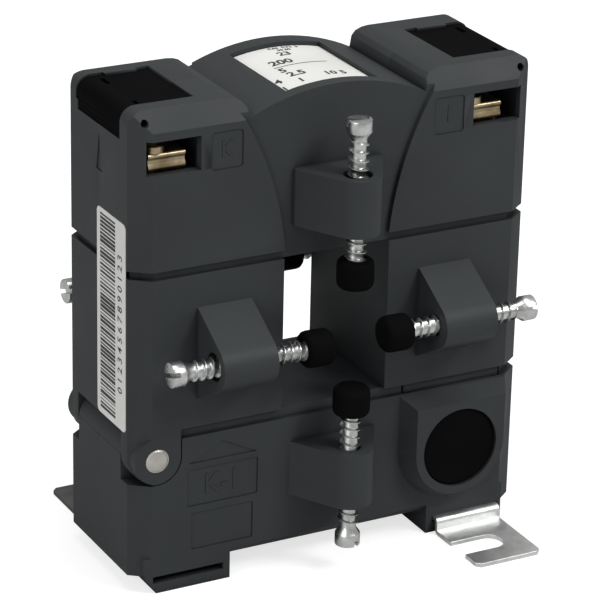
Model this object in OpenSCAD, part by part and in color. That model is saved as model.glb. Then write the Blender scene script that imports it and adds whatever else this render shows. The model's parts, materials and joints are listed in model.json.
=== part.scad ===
// Split-core current transformer for a busbar, in millimetres.
// The yoke frame at the bottom carries the feet; the head and legs hinge open on it.
// Origin: middle of the footprint, on the mounting plane. +Z up, front face towards -Y.

/* [Housing] */
// Width of the housing
body_w = 93; // [86:0.5:112]
// Depth of the housing, front face to rear face
body_d = 34; // [34:0.5:44]
// Height of the towers above the feet
body_top = 106.6; // [103:0.2:128]
// Vertical corner cut, measured along the width
corner_x = 4.2; // [2:0.2:5]
// Vertical corner cut, measured along the depth
corner_y = 3.2; // [2:0.2:4]
// Wall of the mouldings
wall = 1.8; // [1.4:0.1:2.2]
// Depth of the grooves and of the set-back surfaces
setback = 1; // [0.6:0.1:1.2]

/* [Conductor window] */
// Width of the window between the legs
window_w = 24.7; // [20:0.1:30]
// Height of the parting plane, where the legs meet the yoke frame
split_z = 36.9; // [36.5:0.1:42]
// Height of the window above the parting plane
window_h = 34; // [30:0.5:40]

/* [Head] */
// Height of the groove between legs and head
groove_h = 1.8; // [1.2:0.1:2.4]
// Radius of the barrel arch
arch_r = 46.2; // [40:0.2:60]
// Half width of the arch at the foot of the towers
tower_in = 20.3; // [19:0.1:23]
// Radius of the towers' outer top corners
tower_r = 3.2; // [2:0.1:4]
// Height of the sloping front band of a tower
band_h = 4.2; // [3:0.1:5]
// Depth of the sloping front band of a tower
band_d = 3; // [2:0.1:4]
// Narrowest half width of the set-back middle panel
panel_half = 11.9; // [10:0.1:14]
// Radius of the curved edges of the middle panel
panel_r = 73; // [60:1:90]
// Depth of the recess for the rating label
label_recess = 1.2; // [0.6:0.1:1.6]

/* [Terminals] */
// Inner end of a terminal compartment, from the middle
bay_in = 30.2; // [29:0.1:33]
// Half depth of a terminal compartment under its cover
bay_half = 10.2; // [9:0.1:11]
// Height of the sill under a cover's side panel, below the top
sill_drop = 6.8; // [6:0.1:8]
// Width of a wire window
port_w = 11.8; // [10:0.1:12.6]
// Height of a wire window
port_h = 7.3; // [6:0.1:8]
// Width of the brass terminal parts
brass_w = 8.2; // [7:0.1:8.6]
// Diameter of a terminal screw
term_d = 4; // [3:0.1:4.4]

/* [Clamp screws] */
// Width of a clamp boss at its root
boss_w = 20.4; // [17:0.1:23]
// Distance of a screw axis from the housing face
boss_reach = 7.8; // [7:0.1:9.5]
// Nose radius of a clamp boss
boss_nose = 5; // [4.6:0.1:5.6]
// Thickness of a clamp boss at its root
boss_t = 12.4; // [11:0.1:15]
// Slope of the boss face on the screw head's side, in degrees
boss_slope = 15; // [8:1:18]
// Crest diameter of the clamp screw thread
clamp_d = 4.5; // [4:0.1:5.4]
// Core diameter of the clamp screw thread
clamp_core = 3.2; // [2.8:0.1:3.8]
// Diameter of the clamp screw head
clamp_head_d = 5.4; // [5:0.1:5.8]
// Length of a clamp screw
clamp_len = 34.6; // [31:0.2:36]
// Diameter of an insulating cap
cap_d = 7.9; // [7:0.1:9]
// Length of an insulating cap
cap_len = 6.2; // [5:0.1:8]

/* [Hinge and latch] */
// Diameter of the hinge pin
pin_d = 5.2; // [4:0.1:6.4]
// Outer radius of the hinge ears
ear_r = 5.4; // [5:0.1:6.4]
// Thickness of a hinge ear along the pin
ear_t = 6.2; // [5:0.1:7.5]
// Distance of the pin below the parting plane
pin_drop = 6.2; // [6:0.1:8]
// Width of a latch tongue
tongue_w = 23.6; // [18:0.1:26]
// Length of a latch tongue below the parting plane
tongue_len = 11.9; // [9:0.1:13]
// Diameter of a release button
button_d = 17.8; // [14:0.1:18.6]
// How far the button pad stands out of the housing
pad_h = 4.2; // [3.4:0.1:5]

/* [Feet] */
// Clear height under the middle of the housing
foot_h = 5.2; // [4.6:0.1:7]
// Width of a foot bracket
bracket_w = 16; // [12:0.1:16.4]
// Sheet thickness of a foot bracket
bracket_t = 1; // [0.8:0.1:1.2]
// Projection of a foot bracket in front of the housing
bracket_out = 19.5; // [15:0.1:24]
// Width of the slot in a foot bracket
bracket_slot = 6.2; // [4.5:0.1:6.6]

/* [Core and winding] */
// Height of the core's crossbars
core_h = 12; // [9:0.5:12.5]
// Depth of the core
core_d = 18; // [14:0.5:19]

/* [Hidden] */
$fn = 64;
e = 0.01;                      // overshoot of cuts
fit = 0.3;                     // gap between pieces that stay apart
run = 0.05;                    // radial running clearance
split = 0;                     // depth of the plane between front and rear mouldings

hw = body_w / 2;
hd = body_d / 2;
hwin = window_w / 2;
window_top = split_z + window_h;
head_z = window_top + groove_h;
crease_z = body_top - band_h;
arch_top = body_top + 0.5;
shoulder = 4.5;                 // width of the towers' rounded inner shoulders
rear_cut = 0.4;                 // share of the corner cut on the head's rear right corner
lip_h = 2.2;                   // set-back lip of the yoke frame under the legs
lip_z = split_z - lip_h;
skin = wall + setback;         // wall where a surface is set back

pin_x = -hw + ear_r;
pin_z = split_z - pin_drop;
ear_gap = 0.25;
knuckle_r = ear_r - 0.05;
leg_heel_z = pin_z + ear_r + 0.1;      // underside of the leg between its ears
knuckle_half = hd - ear_t - ear_gap;

pad_half = 10.9;                       // half width of the pad's face
pad_draft = 2.25;
plate_deep = 0.25;                     // depth of the moulded fields
pad_x = hw - corner_x - pad_half - 2;  // middle of the button pad
pad_z = split_z - 15.4;
button_gap = 0.15;
flange_t = 1.1;
flange_r = button_d / 2 + 1.4;
flange_y = hd + pad_h - 1.5;           // shoulder that holds the flange in
button_sink = 0.6;
tongue_x = pad_x;
tongue_t = 1.8;
tongue_face = hd - setback;
barb = 0.5;
barb_z = split_z - 7;
barb_h = 3.4;
barb_w = 1.2;

bay_out = hw - wall;
bay_front = hd - 3.7;                  // half depth of the compartment below its rim
bay_floor = body_top - 15;
rim_z = body_top - 5.2;
sill_z = body_top - sill_drop;
slab_z = bay_floor - 5.4;
head_half = bay_in - wall;             // half width of the hollow in the head
cover_t = 1.8;
cover_top = body_top - 0.4;
pivot_x = hw - 3;
pivot_z = body_top - 2.3;
pivot_r = 0.8;
cover_out = hw - 0.2;
cover_low = sill_z + 0.2;
sweep_r = sqrt(pow(cover_out - pivot_x, 2) + pow(pivot_z - cover_low, 2)) + 0.15;
lug_w = 2.2;                           // rear corner lugs of a cover
lug_out = 0.9;
lug_r = 3.6;
mark_z = crease_z - 4.4;               // top of the wedge on the left side
mark_h = 8;
port_z = crease_z - 1.8 - port_h;
port_out = hw - 3.1;
port_in = port_out - port_w;
plate_in = tower_in + 1.9;
plate_w = 7.1;
plate_h = 8.1;
term_y = -5.5;
left_term_x = 8.2 - hw;
right_term_x = port_in + 3.7;
base_t = 1.5;
saddle_z = bay_floor + base_t + 0.5;
saddle_t = 2.5;
saddle_front = bay_front - 0.4;
saddle_len = 11;
term_head_t = 2.1;
term_head_r = 3;
term_end_z = bay_floor + 0.5;          // tip of a terminal screw in its bar
well = 4.4;

axis_y = hd + boss_reach;              // depth of every clamp screw axis
side_z = split_z + 16.5;
top_boss_z = window_top + 6.9;
low_boss_z = split_z - 7.8;
side_boss_x = hwin + 7.4;
head_t = 2.7;
neck_t = 1.3;
cap_grip = 4.2;                        // length of screw inside a cap
guide_len = 4.5;
sink_r = 3.05;
top_gap = 6.1;                         // distance from boss to cap, for each screw
left_gap = 8;
right_gap = 6.7;
rear_left_gap = left_gap - 1.2;
low_gap = 7.8;

rail_out = hw - 3.5;
rail_foot = hw - 5.2;
slot_w = bracket_w + 0.4;
slot_in = rail_out - 1 - slot_w;
rail_in = slot_in - 1.6;
slot_z = 2.4;
slot_h = bracket_t + 0.5;
slot_deep = 13;
base_z = 4;                            // underside beside the rails

limb_x = hwin + wall + 1.95;
limb_w = head_half - fit - limb_x;
core_in_z = head_z + 6;
core_top = core_in_z + core_h;
low_core_top = split_z - 0.1;
low_core_z = 12;
bobbin_half = limb_x - 2.7;
bobbin_t = 1.4;
winding_t = 3.2;
lead_r = 0.8;
lead_y = core_d / 2 + fit + bobbin_t + lead_r;
lead_z = min(slab_z - 2.5, core_top);

body_colour = [0.22, 0.235, 0.245];
black_colour = [0.05, 0.05, 0.055];
zinc_colour = [0.74, 0.75, 0.76];
brass_colour = [0.72, 0.6, 0.34];
core_colour = [0.5, 0.5, 0.52];
copper_colour = [0.65, 0.33, 0.18];
label_colour = [0.92, 0.92, 0.9];

// ---------- shared shapes ----------

// Box between two corners.
module box(a, b) {
    translate(a) cube([b[0] - a[0], b[1] - a[1], b[2] - a[2]]);
}

// Plan of the housing, taken in by a margin all round.
module plan(in) {
    w = hw - in;
    d = hd - in;
    polygon([[-w, -d + corner_y], [-w + corner_x, -d], [w - corner_x, -d], [w, -d + corner_y],
             [w, d - corner_y], [w - corner_x, d], [-w + corner_x, d], [-w, d - corner_y]]);
}

// Slice of the housing between two heights.
module slice(in, z0, z1) {
    translate([0, 0, z0]) linear_extrude(z1 - z0) plan(in);
}

// Turns a drawing in X and Z into a prism from y0 to y1.
module along_y(y0, y1) {
    translate([0, y1, 0]) rotate([90, 0, 0]) linear_extrude(y1 - y0) children();
}

// Turns a drawing in Y and Z into a prism from x0 to x1.
module along_x(x0, x1) {
    translate([x0, 0, 0]) rotate([90, 0, 90]) linear_extrude(x1 - x0) children();
}

// Repeats a shape on the front and, mirrored, on the rear.
module both_faces() {
    children();
    mirror([0, 1, 0]) children();
}

// Keeps the half of a housing in front of or behind the parting plane.
module moulding(front) {
    difference() {
        children();
        if (front) box([-2 * hw, split, -1], [2 * hw, 4 * hd, 2 * body_top]);
        else box([-2 * hw, -4 * hd, -1], [2 * hw, split, 2 * body_top]);
    }
}

// Rectangle with round corners, given by two corners.
module round_rect(a, b, r) {
    translate([a[0] + r, a[1]]) square([b[0] - a[0] - 2 * r, b[1] - a[1]]);
    translate([a[0], a[1] + r]) square([b[0] - a[0], b[1] - a[1] - 2 * r]);
    for (x = [a[0] + r, b[0] - r], y = [a[1] + r, b[1] - r]) translate([x, y]) circle(r);
}

// ---------- clamp bosses ----------

// Plan of a boss: straight flanks from the root run tangent into the round nose.
module boss_plan() {
    half = boss_w / 2;
    reach = sqrt(half * half + boss_reach * boss_reach);
    turn = atan2(boss_reach, half) + asin(boss_nose / reach);
    flank = sqrt(reach * reach - boss_nose * boss_nose);
    tx = half - flank * cos(turn);
    ty = flank * sin(turn);
    polygon([[-half, -setback - 0.4], [half, -setback - 0.4], [half, 0], [tx, ty], [-tx, ty], [-half, 0]]);
    translate([0, boss_reach]) circle(boss_nose);
}

// A boss in its own frame: root on the plane y = 0, nose towards -Y, cap face on z = 0.
module boss_body() {
    difference() {
        mirror([0, 1, 0]) linear_extrude(boss_t) boss_plan();
        translate([0, 0, boss_t]) rotate([-boss_slope, 0, 0]) mirror([0, 1, 0])
            translate([-boss_w, 0, 0]) cube([2 * boss_w, 3 * boss_reach, boss_t]);
    }
}

// Screw hole of a boss: a close guide at the cap face, then a wider well.
module boss_hole() {
    translate([0, -boss_reach, -e]) cylinder(h = guide_len + 2 * e, r = clamp_d / 2 + run);
    translate([0, -boss_reach, guide_len]) cylinder(h = boss_t, r = sink_r);
}

// Places a child drawn in the boss frame: 0 top, 1 left, 2 right, 3 bottom.
module at_clamp(place) {
    if (place == 0) translate([0, -hd, top_boss_z]) children();
    if (place == 1) translate([-side_boss_x, -hd, side_z]) rotate([0, -90, 0]) children();
    if (place == 2) translate([side_boss_x, -hd, side_z]) rotate([0, 90, 0]) children();
    if (place == 3) translate([0, -hd, low_boss_z]) rotate([0, 180, 0]) children();
}

// ---------- yoke frame ----------

// Pocket for a hinge ear, seen from the front.
module ear_pocket() {
    r = ear_r + ear_gap;
    translate([pin_x, pin_z]) circle(r);
    translate([-hw - 1, pin_z - r]) square([pin_x + hw + 1, split_z - pin_z + r + 1]);
    translate([-hw - 1, pin_z]) square([pin_x + r + hw + 1, split_z - pin_z + 1]);
}

// What the knuckle loses around its round top, seen from the front.
module knuckle_relief() {
    difference() {
        translate([-hw - 1, pin_z]) square([pin_x + ear_r + hw + 1.2, split_z - pin_z + 1]);
        translate([pin_x, pin_z]) circle(knuckle_r);
        translate([pin_x, pin_z - 1]) square([ear_r + 2, knuckle_r + 1]);
    }
}

// The raised pad: a cone below, drafted flanks above it, and a sloping top.
module pad() {
    root = 0.5;
    wide = pad_half + pad_draft * (pad_h + root) / pad_h;
    difference() {
        union() {
            translate([pad_x, root - hd, pad_z]) rotate([90, 0, 0])
                cylinder(h = pad_h + root, r1 = wide, r2 = pad_half);
            translate([pad_x, -hd, pad_z]) linear_extrude(split_z - pad_z)
                polygon([[-wide, root], [-pad_half, -pad_h], [pad_half, -pad_h], [wide, root]]);
        }
        along_x(pad_x - 2 * pad_half, pad_x + 2 * pad_half)
            polygon([[-hd, lip_z - 0.4], [-hd - 2 * pad_h, lip_z - 4.6], [-hd - 2 * pad_h, split_z + 1],
                     [1 - hd, split_z + 1], [1 - hd, lip_z - 0.4]]);
    }
}

// Foot rail, seen from the front; the left one has a sloping outer end.
module rail_section(side) {
    if (side < 0) polygon([[-rail_foot, 0], [-rail_in, 0], [-rail_in, foot_h + 3],
                           [-rail_out - 1.2, foot_h + 3], [-rail_out - 1.2, foot_h]]);
    else polygon([[rail_in, 0], [rail_out, 0], [rail_out, foot_h + 3], [rail_in, foot_h + 3]]);
}

module rail(side) {
    difference() {
        along_y(-hd, hd) rail_section(side);
        both_faces() box([min(side * slot_in, side * (slot_in + slot_w)), -hd - 1, slot_z],
                         [max(side * slot_in, side * (slot_in + slot_w)), -hd + slot_deep, slot_z + slot_h]);
    }
}

// Underside of the yoke frame: lower beside the rails, chamfered between them.
module underside() {
    along_x(-rail_in, rail_in) polygon([[-hd - 1, base_z - 5], [hd + 1, base_z - 5], [hd + 1, foot_h + 2.8],
                                        [hd - 1.5, foot_h], [-hd + 1.5, foot_h], [-hd - 1, foot_h + 2.8]]);
    box([-hw - 1, -hd - 1, -1], [hw + 1, hd + 1, base_z]);
}

module lower_hollow() {
    // room for the lower core and its spring
    box([-head_half - 0.1, -hd + skin, low_core_z - 3], [head_half + 0.1, hd - skin, lip_z + 0.3]);
    // pole openings in the top
    for (s = [-1, 1]) {
        x = s * (limb_x + limb_w / 2);
        box([x - limb_w / 2 - fit, -core_d / 2 - fit, lip_z - 1],
            [x + limb_w / 2 + fit, core_d / 2 + fit, split_z + 1]);
    }
    // space beside the core for the buttons
    both_faces() box([tongue_x - tongue_w / 2 - 0.45, -tongue_face - 0.1, split_z - tongue_len - 0.4],
                     [tongue_x + tongue_w / 2 + 0.5, -hd + skin + e, lip_z + e]);
}

module button_bore() {
    along_y(-hd - pad_h - 1, -hd) translate([pad_x, pad_z]) circle(button_d / 2 + button_gap);
    along_y(-flange_y, -hd + skin + e) translate([pad_x, pad_z]) circle(flange_r + 0.2);
}

// Cuts for a latch tongue and the channels of its barbs.
module tongue_room() {
    x0 = tongue_x - tongue_w / 2;
    x1 = tongue_x + tongue_w / 2;
    box([x0 - 0.45, -hd - 1, lip_z], [x1 + 0.5, -hd + skin + e, split_z + 1]);
    for (x = [x0 + 0.1, x1 - 0.1 - barb_w])
        box([x - 0.55, -tongue_face - barb - 0.2, barb_z - 0.5], [x + barb_w + 0.2, -hd + skin, split_z]);
}

// Shallow bare fields moulded low on the front: two plates and a triangle over them.
module front_plates() {
    x = -hw + 20.55;
    translate([x, -hd + plate_deep, 0]) rotate([90, 0, 0]) linear_extrude(1) {
        round_rect([-8.25, 18.6], [8.25, 27.1], 0.5);
        round_rect([-7.2, 8.5], [7.2, 17], 0.5);
        polygon([[-8, 28.5], [8, 28.5], [0, 32.5]]);
    }
}

module lower_frame() {
    difference() {
        union() {
            difference() {
                union() {
                    slice(0, 0, lip_z);
                    slice(setback, lip_z - e, split_z);
                }
                underside();
                both_faces() along_y(-hd - 1, -hd + ear_t + ear_gap) ear_pocket();
                along_y(-knuckle_half - ear_gap - e, knuckle_half + ear_gap + e) knuckle_relief();
            }
            along_y(-knuckle_half, knuckle_half) translate([pin_x, pin_z]) circle(knuckle_r);
            for (s = [-1, 1]) rail(s);
            both_faces() pad();
            both_faces() at_clamp(3) boss_body();
        }
        lower_hollow();
        along_y(-hd, hd) translate([pin_x, pin_z]) circle(pin_d / 2 + 0.02);
        front_plates();
        both_faces() button_bore();
        both_faces() tongue_room();
        both_faces() at_clamp(3) boss_hole();
    }
}

module lower_front_shell() {
    color(body_colour) moulding(true) lower_frame();
}

module lower_rear_shell() {
    color(body_colour) moulding(false) lower_frame();
}

// Lower half of the laminated core: a U with its poles up.
module lower_core() {
    out = limb_x + limb_w;
    color(core_colour) difference() {
        box([-out, -core_d / 2, low_core_z], [out, core_d / 2, low_core_top]);
        box([-limb_x, -core_d, low_core_z + limb_w], [limb_x, core_d, split_z + 1]);
    }
}

// Bowed leaf spring that lifts the lower core against the upper one.
module core_spring() {
    span = 22;
    rise = 2.7;
    t = 0.5;
    r = (span * span + rise * rise) / (2 * rise);
    color(zinc_colour) along_y(-7, 7) intersection() {
        translate([0, low_core_z - 0.05 - r]) difference() {
            circle(r, $fn = 180);
            circle(r - t, $fn = 180);
        }
        translate([-span, low_core_z - 2.95]) square([2 * span, rise + 1]);
    }
}

module hinge_pin() {
    color(zinc_colour) along_y(-hd, hd) translate([pin_x, pin_z]) circle(pin_d / 2);
}

// Release button in the front pad: a plain disc with a flange behind it.
module button_shape() {
    color(black_colour) translate([pad_x, 0, pad_z]) rotate([90, 0, 0]) {
        translate([0, 0, flange_y - 0.05 - flange_t]) cylinder(h = flange_t, r = flange_r);
        translate([0, 0, flange_y - 0.1])
            cylinder(h = hd + pad_h - button_sink - flange_y + 0.1, r = button_d / 2);
    }
}

module front_release_button() {
    button_shape();
}

module rear_release_button() {
    mirror([0, 1, 0]) button_shape();
}

// Z-bent foot bracket: leaf in the rail, riser, foot with an open slot.
module bracket_shape() {
    t = bracket_t;
    x0 = slot_in + (slot_w - bracket_w) / 2;
    x1 = x0 + bracket_w;
    leaf_z = slot_z + slot_h - t;
    y0 = -hd - 1.9;
    y1 = -hd - bracket_out;
    r = t + 0.3;
    slot_y = (y0 + y1) / 2 - 0.3;
    mid = (x0 + x1) / 2;
    color(zinc_colour) difference() {
        union() {
            box([x0, y0 - e + r, leaf_z], [x1, -hd + slot_deep - 1, leaf_z + t]);
            box([x0, y0, r], [x1, y0 + t, leaf_z + t - r]);
            box([x0, y1, 0], [x1, y0 + t - r + e, t]);
            along_x(x0, x1) bend([y0 + r, leaf_z + t - r], r, [-1, 1], t);
            along_x(x0, x1) bend([y0 + t - r, r], r, [1, -1], t);
        }
        translate([mid, slot_y, -1]) cylinder(h = t + 2, r = bracket_slot / 2);
        box([x0 - 1, slot_y - bracket_slot / 2, -1], [mid, slot_y + bracket_slot / 2, t + 1]);
        // clipped outer corners
        for (x = [x0, x1]) translate([x, y1, -1]) rotate([0, 0, 45])
            cube([1.4, 1.4, 2 * t + 4], center = true);
    }
}

// Quarter ring of a sheet bend, in one quadrant about its centre.
module bend(c, r, quad, t) {
    translate(c) intersection() {
        difference() {
            circle(r);
            circle(r - t);
        }
        translate([min(0, quad[0] * r), min(0, quad[1] * r)]) square(r);
    }
}

module front_foot_bracket() {
    bracket_shape();
}

module rear_foot_bracket() {
    rotate([0, 0, 180]) bracket_shape();
}

// ---------- head and legs ----------

// Front view of the head: two towers and the barrel arch between them.
module head_outline(in) {
    for (s = [-1, 1]) scale([s, 1]) tower_outline(in);
    intersection() {
        translate([0, arch_top - arch_r]) circle(arch_r, $fn = 180);
        translate([-tower_in - 4, split_z]) square([2 * tower_in + 8, arch_top - split_z + 1]);
    }
}

module tower_outline(in) {
    w = hw - in;
    r = tower_r;
    in_top = tower_in + shoulder;
    translate([in_top, split_z]) square([w - r - in_top, body_top - split_z]);
    translate([w - r - 1, split_z]) square([r + 1, body_top - split_z - r]);
    translate([w - r, body_top - r]) circle(r);
    polygon([[tower_in, split_z], [in_top + e, split_z], [in_top + e, body_top], [in_top, body_top],
             [tower_in + 2.9, body_top - 0.2], [tower_in + 1.4, body_top - 0.8],
             [tower_in + 0.5, body_top - 1.9], [tower_in, crease_z - 0.6]]);
}

// Front view of the raised tower blocks, bounded by the curved panel edges.
module block_outline() {
    for (s = [-1, 1]) scale([s, 1]) intersection() {
        union() {
            translate([panel_half, head_z]) square([tower_in - panel_half + 3, crease_z - head_z]);
            tower_outline(0);
        }
        translate([panel_half + panel_r, window_top - 5]) circle(panel_r, $fn = 180);
        translate([0, head_z]) square([hw + 1, body_top - head_z + 1]);
    }
}

// Plan of the right tower's rear corner, cut less than the others.
module rear_corner() {
    polygon([[hw - corner_x - 1, split + 1], [hw, split + 1], [hw, hd - rear_cut * corner_y],
             [hw - rear_cut * corner_x, hd], [hw - corner_x - 1, hd]]);
}

// Sloping bands along the towers' top edges: both in front, the left one at the rear too.
module tower_bands() {
    for (s = [-1, 1]) scale([s, 1, 1]) tower_band();
    rotate([0, 0, 180]) tower_band();
}

module tower_band() {
    y = -hd + band_d;
    along_x(tower_in - 3, hw + 1)
        polygon([[-hd - 1, crease_z - band_h / band_d], [y, body_top],
                 [y, body_top + 1], [-hd - 1, body_top + 1]]);
}

// Narrow moulded wedge on the left side, across the parting plane.
module side_mark() {
    along_x(-hw - 1, -hw + plate_deep)
        polygon([[-0.3, mark_z], [-1.8, mark_z - mark_h], [1.1, mark_z - mark_h]]);
}

// Hinge ear under the left leg, seen from the front.
module ear_outline() {
    translate([pin_x, pin_z]) circle(ear_r);
    translate([pin_x - ear_r, pin_z]) square([2 * ear_r, split_z - pin_z + 1]);
}

module ear() {
    intersection() {
        along_y(-hd, -hd + ear_t) ear_outline();
        slice(0, 0, body_top);
    }
    along_y(-hd, -hd + corner_y) translate([pin_x, pin_z]) circle(ear_r - fit);
}

// Latch tongue under the right leg, with a barb at each side.
module tongue() {
    x0 = tongue_x - tongue_w / 2;
    x1 = tongue_x + tongue_w / 2;
    box([x0, -tongue_face, split_z - tongue_len], [x1, -tongue_face + tongue_t, split_z + wall]);
    for (x = [x0 + 0.1, x1 - 0.1 - barb_w]) along_x(x, x + barb_w)
        polygon([[-tongue_face + e, barb_z], [-tongue_face - barb, barb_z + barb_h],
                 [-tongue_face + e, barb_z + barb_h]]);
}

module terminal_bay(s) {
    scale([s, 1, 1]) {
        box([bay_in, -bay_half, bay_floor], [bay_out, bay_half, body_top + 1]);
        box([bay_in, -bay_front, bay_floor], [bay_out, 0, rim_z]);
        box([bay_in + 5, -bay_half, sill_z], [hw + 1, bay_half, body_top + 1]);
        // hollow sill under the swinging side panel
        along_y(-bay_half, bay_half) translate([pivot_x, pivot_z]) circle(sweep_r);
        // pockets for the cover's corner lugs
        box([bay_in, 0, cover_top - cover_t - fit],
            [bay_in + fit + lug_w + 0.6, bay_half + lug_out, body_top + 1]);
        along_y(0, bay_half + lug_out) translate([pivot_x, pivot_z]) circle(lug_r + 0.2);
        // wire window
        box([port_in, -hd - 1, port_z], [port_out, e - bay_front, port_z + port_h]);
        // name plate
        translate([0, -hd + plate_deep, 0]) rotate([90, 0, 0]) linear_extrude(2)
            round_rect([plate_in, port_z - 0.6], [plate_in + plate_w, port_z - 0.6 + plate_h], 0.8);
        // pivot holes of the cover
        along_y(-hd - 1, hd + 1) translate([pivot_x, pivot_z]) circle(pivot_r);
    }
}

// Well under a terminal screw and the passage of its lead.
module terminal_wells(x, s) {
    translate([x, term_y, bay_floor - well]) cylinder(h = well + 1, r = term_d / 2 + 0.3);
    translate([lead_x(s), bay_half - 2.2, slab_z - 1]) cylinder(h = 8, r = lead_r + fit);
}

module upper_hollow() {
    inner = hwin + wall;
    for (s = [-1, 1]) scale([s, 1, 1])
        box([inner, -hd + skin, split_z + wall], [hw - skin, hd - skin, slab_z]);
    box([-head_half, -hd + skin, window_top + wall], [head_half, hd - skin, bay_floor + 5]);
    for (s = [-1, 1]) {
        x = s * (limb_x + limb_w / 2);
        box([x - limb_w / 2 - fit, -core_d / 2 - fit, split_z - 1],
            [x + limb_w / 2 + fit, core_d / 2 + fit, split_z + 3]);
    }
}

module label_pocket(grow) {
    half = 10.7 + grow;
    deep = 12.9 + grow;
    intersection() {
        box([-half, -deep, body_top - 5], [half, deep, arch_top + 1]);
        translate([0, 2 * hd, arch_top - arch_r]) rotate([90, 0, 0]) difference() {
            cylinder(h = 4 * hd, r = arch_r + 1, $fn = 180);
            translate([0, 0, -1]) cylinder(h = 4 * hd + 2, r = arch_r - label_recess, $fn = 180);
        }
    }
}

module upper_frame() {
    difference() {
        union() {
            // set-back body
            intersection() {
                slice(setback, split_z, arch_top);
                along_y(-hd, hd) head_outline(setback);
            }
            // rear panel, flush with the rear towers
            intersection() {
                slice(0, head_z, arch_top);
                along_y(split, hd) head_outline(0);
            }
            // fuller rear corner of the right tower
            intersection() {
                translate([0, 0, head_z]) linear_extrude(body_top - head_z) rear_corner();
                along_y(split, hd) head_outline(0);
            }
            // raised head blocks
            intersection() {
                slice(0, head_z, body_top);
                along_y(-hd, hd) block_outline();
            }
            // raised legs
            for (s = [-1, 1]) intersection() {
                slice(0, split_z, window_top);
                box([s > 0 ? hwin : -hw, -hd, split_z], [s > 0 ? hw : -hwin, hd, window_top]);
            }
            box([-hw, -hd + ear_t, leg_heel_z], [pin_x + ear_r, hd - ear_t, split_z + 1]);
            both_faces() ear();
            both_faces() tongue();
            both_faces() for (i = [0 : 2]) at_clamp(i) boss_body();
        }
        tower_bands();
        side_mark();
        box([-hwin, -hd - 1, split_z - 1], [hwin, hd + 1, window_top]);
        for (s = [-1, 1]) terminal_bay(s);
        terminal_wells(left_term_x, -1);
        terminal_wells(right_term_x, 1);
        upper_hollow();
        label_pocket(0);
        along_y(-hd - 1, hd + 1) translate([pin_x, pin_z]) circle(pin_d / 2 + run);
        both_faces() for (i = [0 : 2]) at_clamp(i) boss_hole();
    }
}

module upper_front_shell() {
    color(body_colour) moulding(true) upper_frame();
}

module upper_rear_shell() {
    color(body_colour) moulding(false) upper_frame();
}

// Upper half of the laminated core: a U with its poles down.
module upper_core() {
    out = limb_x + limb_w;
    color(core_colour) difference() {
        box([-out, -core_d / 2, split_z], [out, core_d / 2, core_top]);
        box([-limb_x, -core_d, split_z - 1], [limb_x, core_d, core_in_z]);
    }
}

// Coil former on the top of the core: a square tube between two flanges.
module bobbin() {
    hy = core_d / 2 + fit;
    z0 = core_in_z - fit;
    z1 = core_top + fit;
    t = bobbin_t;
    rim = winding_t + t;
    color(black_colour) difference() {
        union() {
            box([-bobbin_half, -hy - t, z0 - t], [bobbin_half, hy + t, z1 + t]);
            for (s = [-1, 1]) box([s * (bobbin_half - t / 2) - t / 2, -hy - rim, z0 - rim],
                                  [s * (bobbin_half - t / 2) + t / 2, hy + rim, z1 + rim]);
        }
        box([-bobbin_half - 1, -hy, z0], [bobbin_half + 1, hy, z1]);
    }
}

// Copper winding between the flanges of the former.
module secondary_winding() {
    hy = core_d / 2 + fit + bobbin_t;
    z0 = core_in_z - fit - bobbin_t;
    z1 = core_top + fit + bobbin_t;
    t = winding_t - 0.4;
    half = bobbin_half - bobbin_t - 0.1;
    color(copper_colour) difference() {
        along_x(-half, half) round_rect([-hy - t, z0 - t], [hy + t, z1 + t], 2);
        box([-half - 1, -hy, z0], [half + 1, hy, z1]);
    }
}

// Brass bar on the floor of a terminal compartment.
module terminal_base(x) {
    color(brass_colour) difference() {
        box([x - brass_w / 2, -saddle_front, bay_floor],
            [x + brass_w / 2, bay_half - 0.4, bay_floor + base_t]);
        translate([x, term_y, bay_floor - 1]) cylinder(h = base_t + 2, r = term_d / 2 + run);
    }
}

module left_terminal_base() {
    terminal_base(left_term_x);
}

module right_terminal_base() {
    terminal_base(right_term_x);
}

// Lead from the winding to the underside of a terminal bar: along the core, across, and up.
function lead_x(s) = s < 0 ? left_term_x + 1.5 : right_term_x;

module lead(s) {
    x0 = s * bobbin_half;
    x1 = lead_x(s);
    y1 = bay_half - 2.2;
    color(copper_colour) {
        translate([min(x0, x1), lead_y, lead_z]) rotate([0, 90, 0]) cylinder(h = abs(x1 - x0), r = lead_r);
        translate([x1, lead_y, lead_z]) sphere(lead_r);
        translate([x1, lead_y, lead_z]) rotate([90, 0, 0]) cylinder(h = lead_y - y1, r = lead_r);
        translate([x1, y1, lead_z]) sphere(lead_r);
        translate([x1, y1, lead_z]) cylinder(h = bay_floor - lead_z, r = lead_r);
    }
}

module left_lead() {
    lead(-1);
}

module right_lead() {
    lead(1);
}

// White rating label in the recess of the arch.
module rating_label() {
    color(label_colour) intersection() {
        box([-10.6, -12.8, body_top - 5], [10.6, 12.8, body_top + 1]);
        translate([0, 20, arch_top - arch_r]) rotate([90, 0, 0]) difference() {
            cylinder(h = 40, r = arch_r - label_recess + 0.2, $fn = 180);
            translate([0, 0, -1]) cylinder(h = 42, r = arch_r - label_recess, $fn = 180);
        }
    }
}

// Label on the left side, bridging the groove.
module side_label() {
    color(label_colour) translate([-hw - 0.12, 0, 0]) rotate([90, 0, 90]) linear_extrude(0.12)
        round_rect([-hd + corner_y + 0.6, leg_heel_z + 0.2], [0.6, head_z + 9.6], 1.2);
}

// ---------- terminal covers ----------

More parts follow.
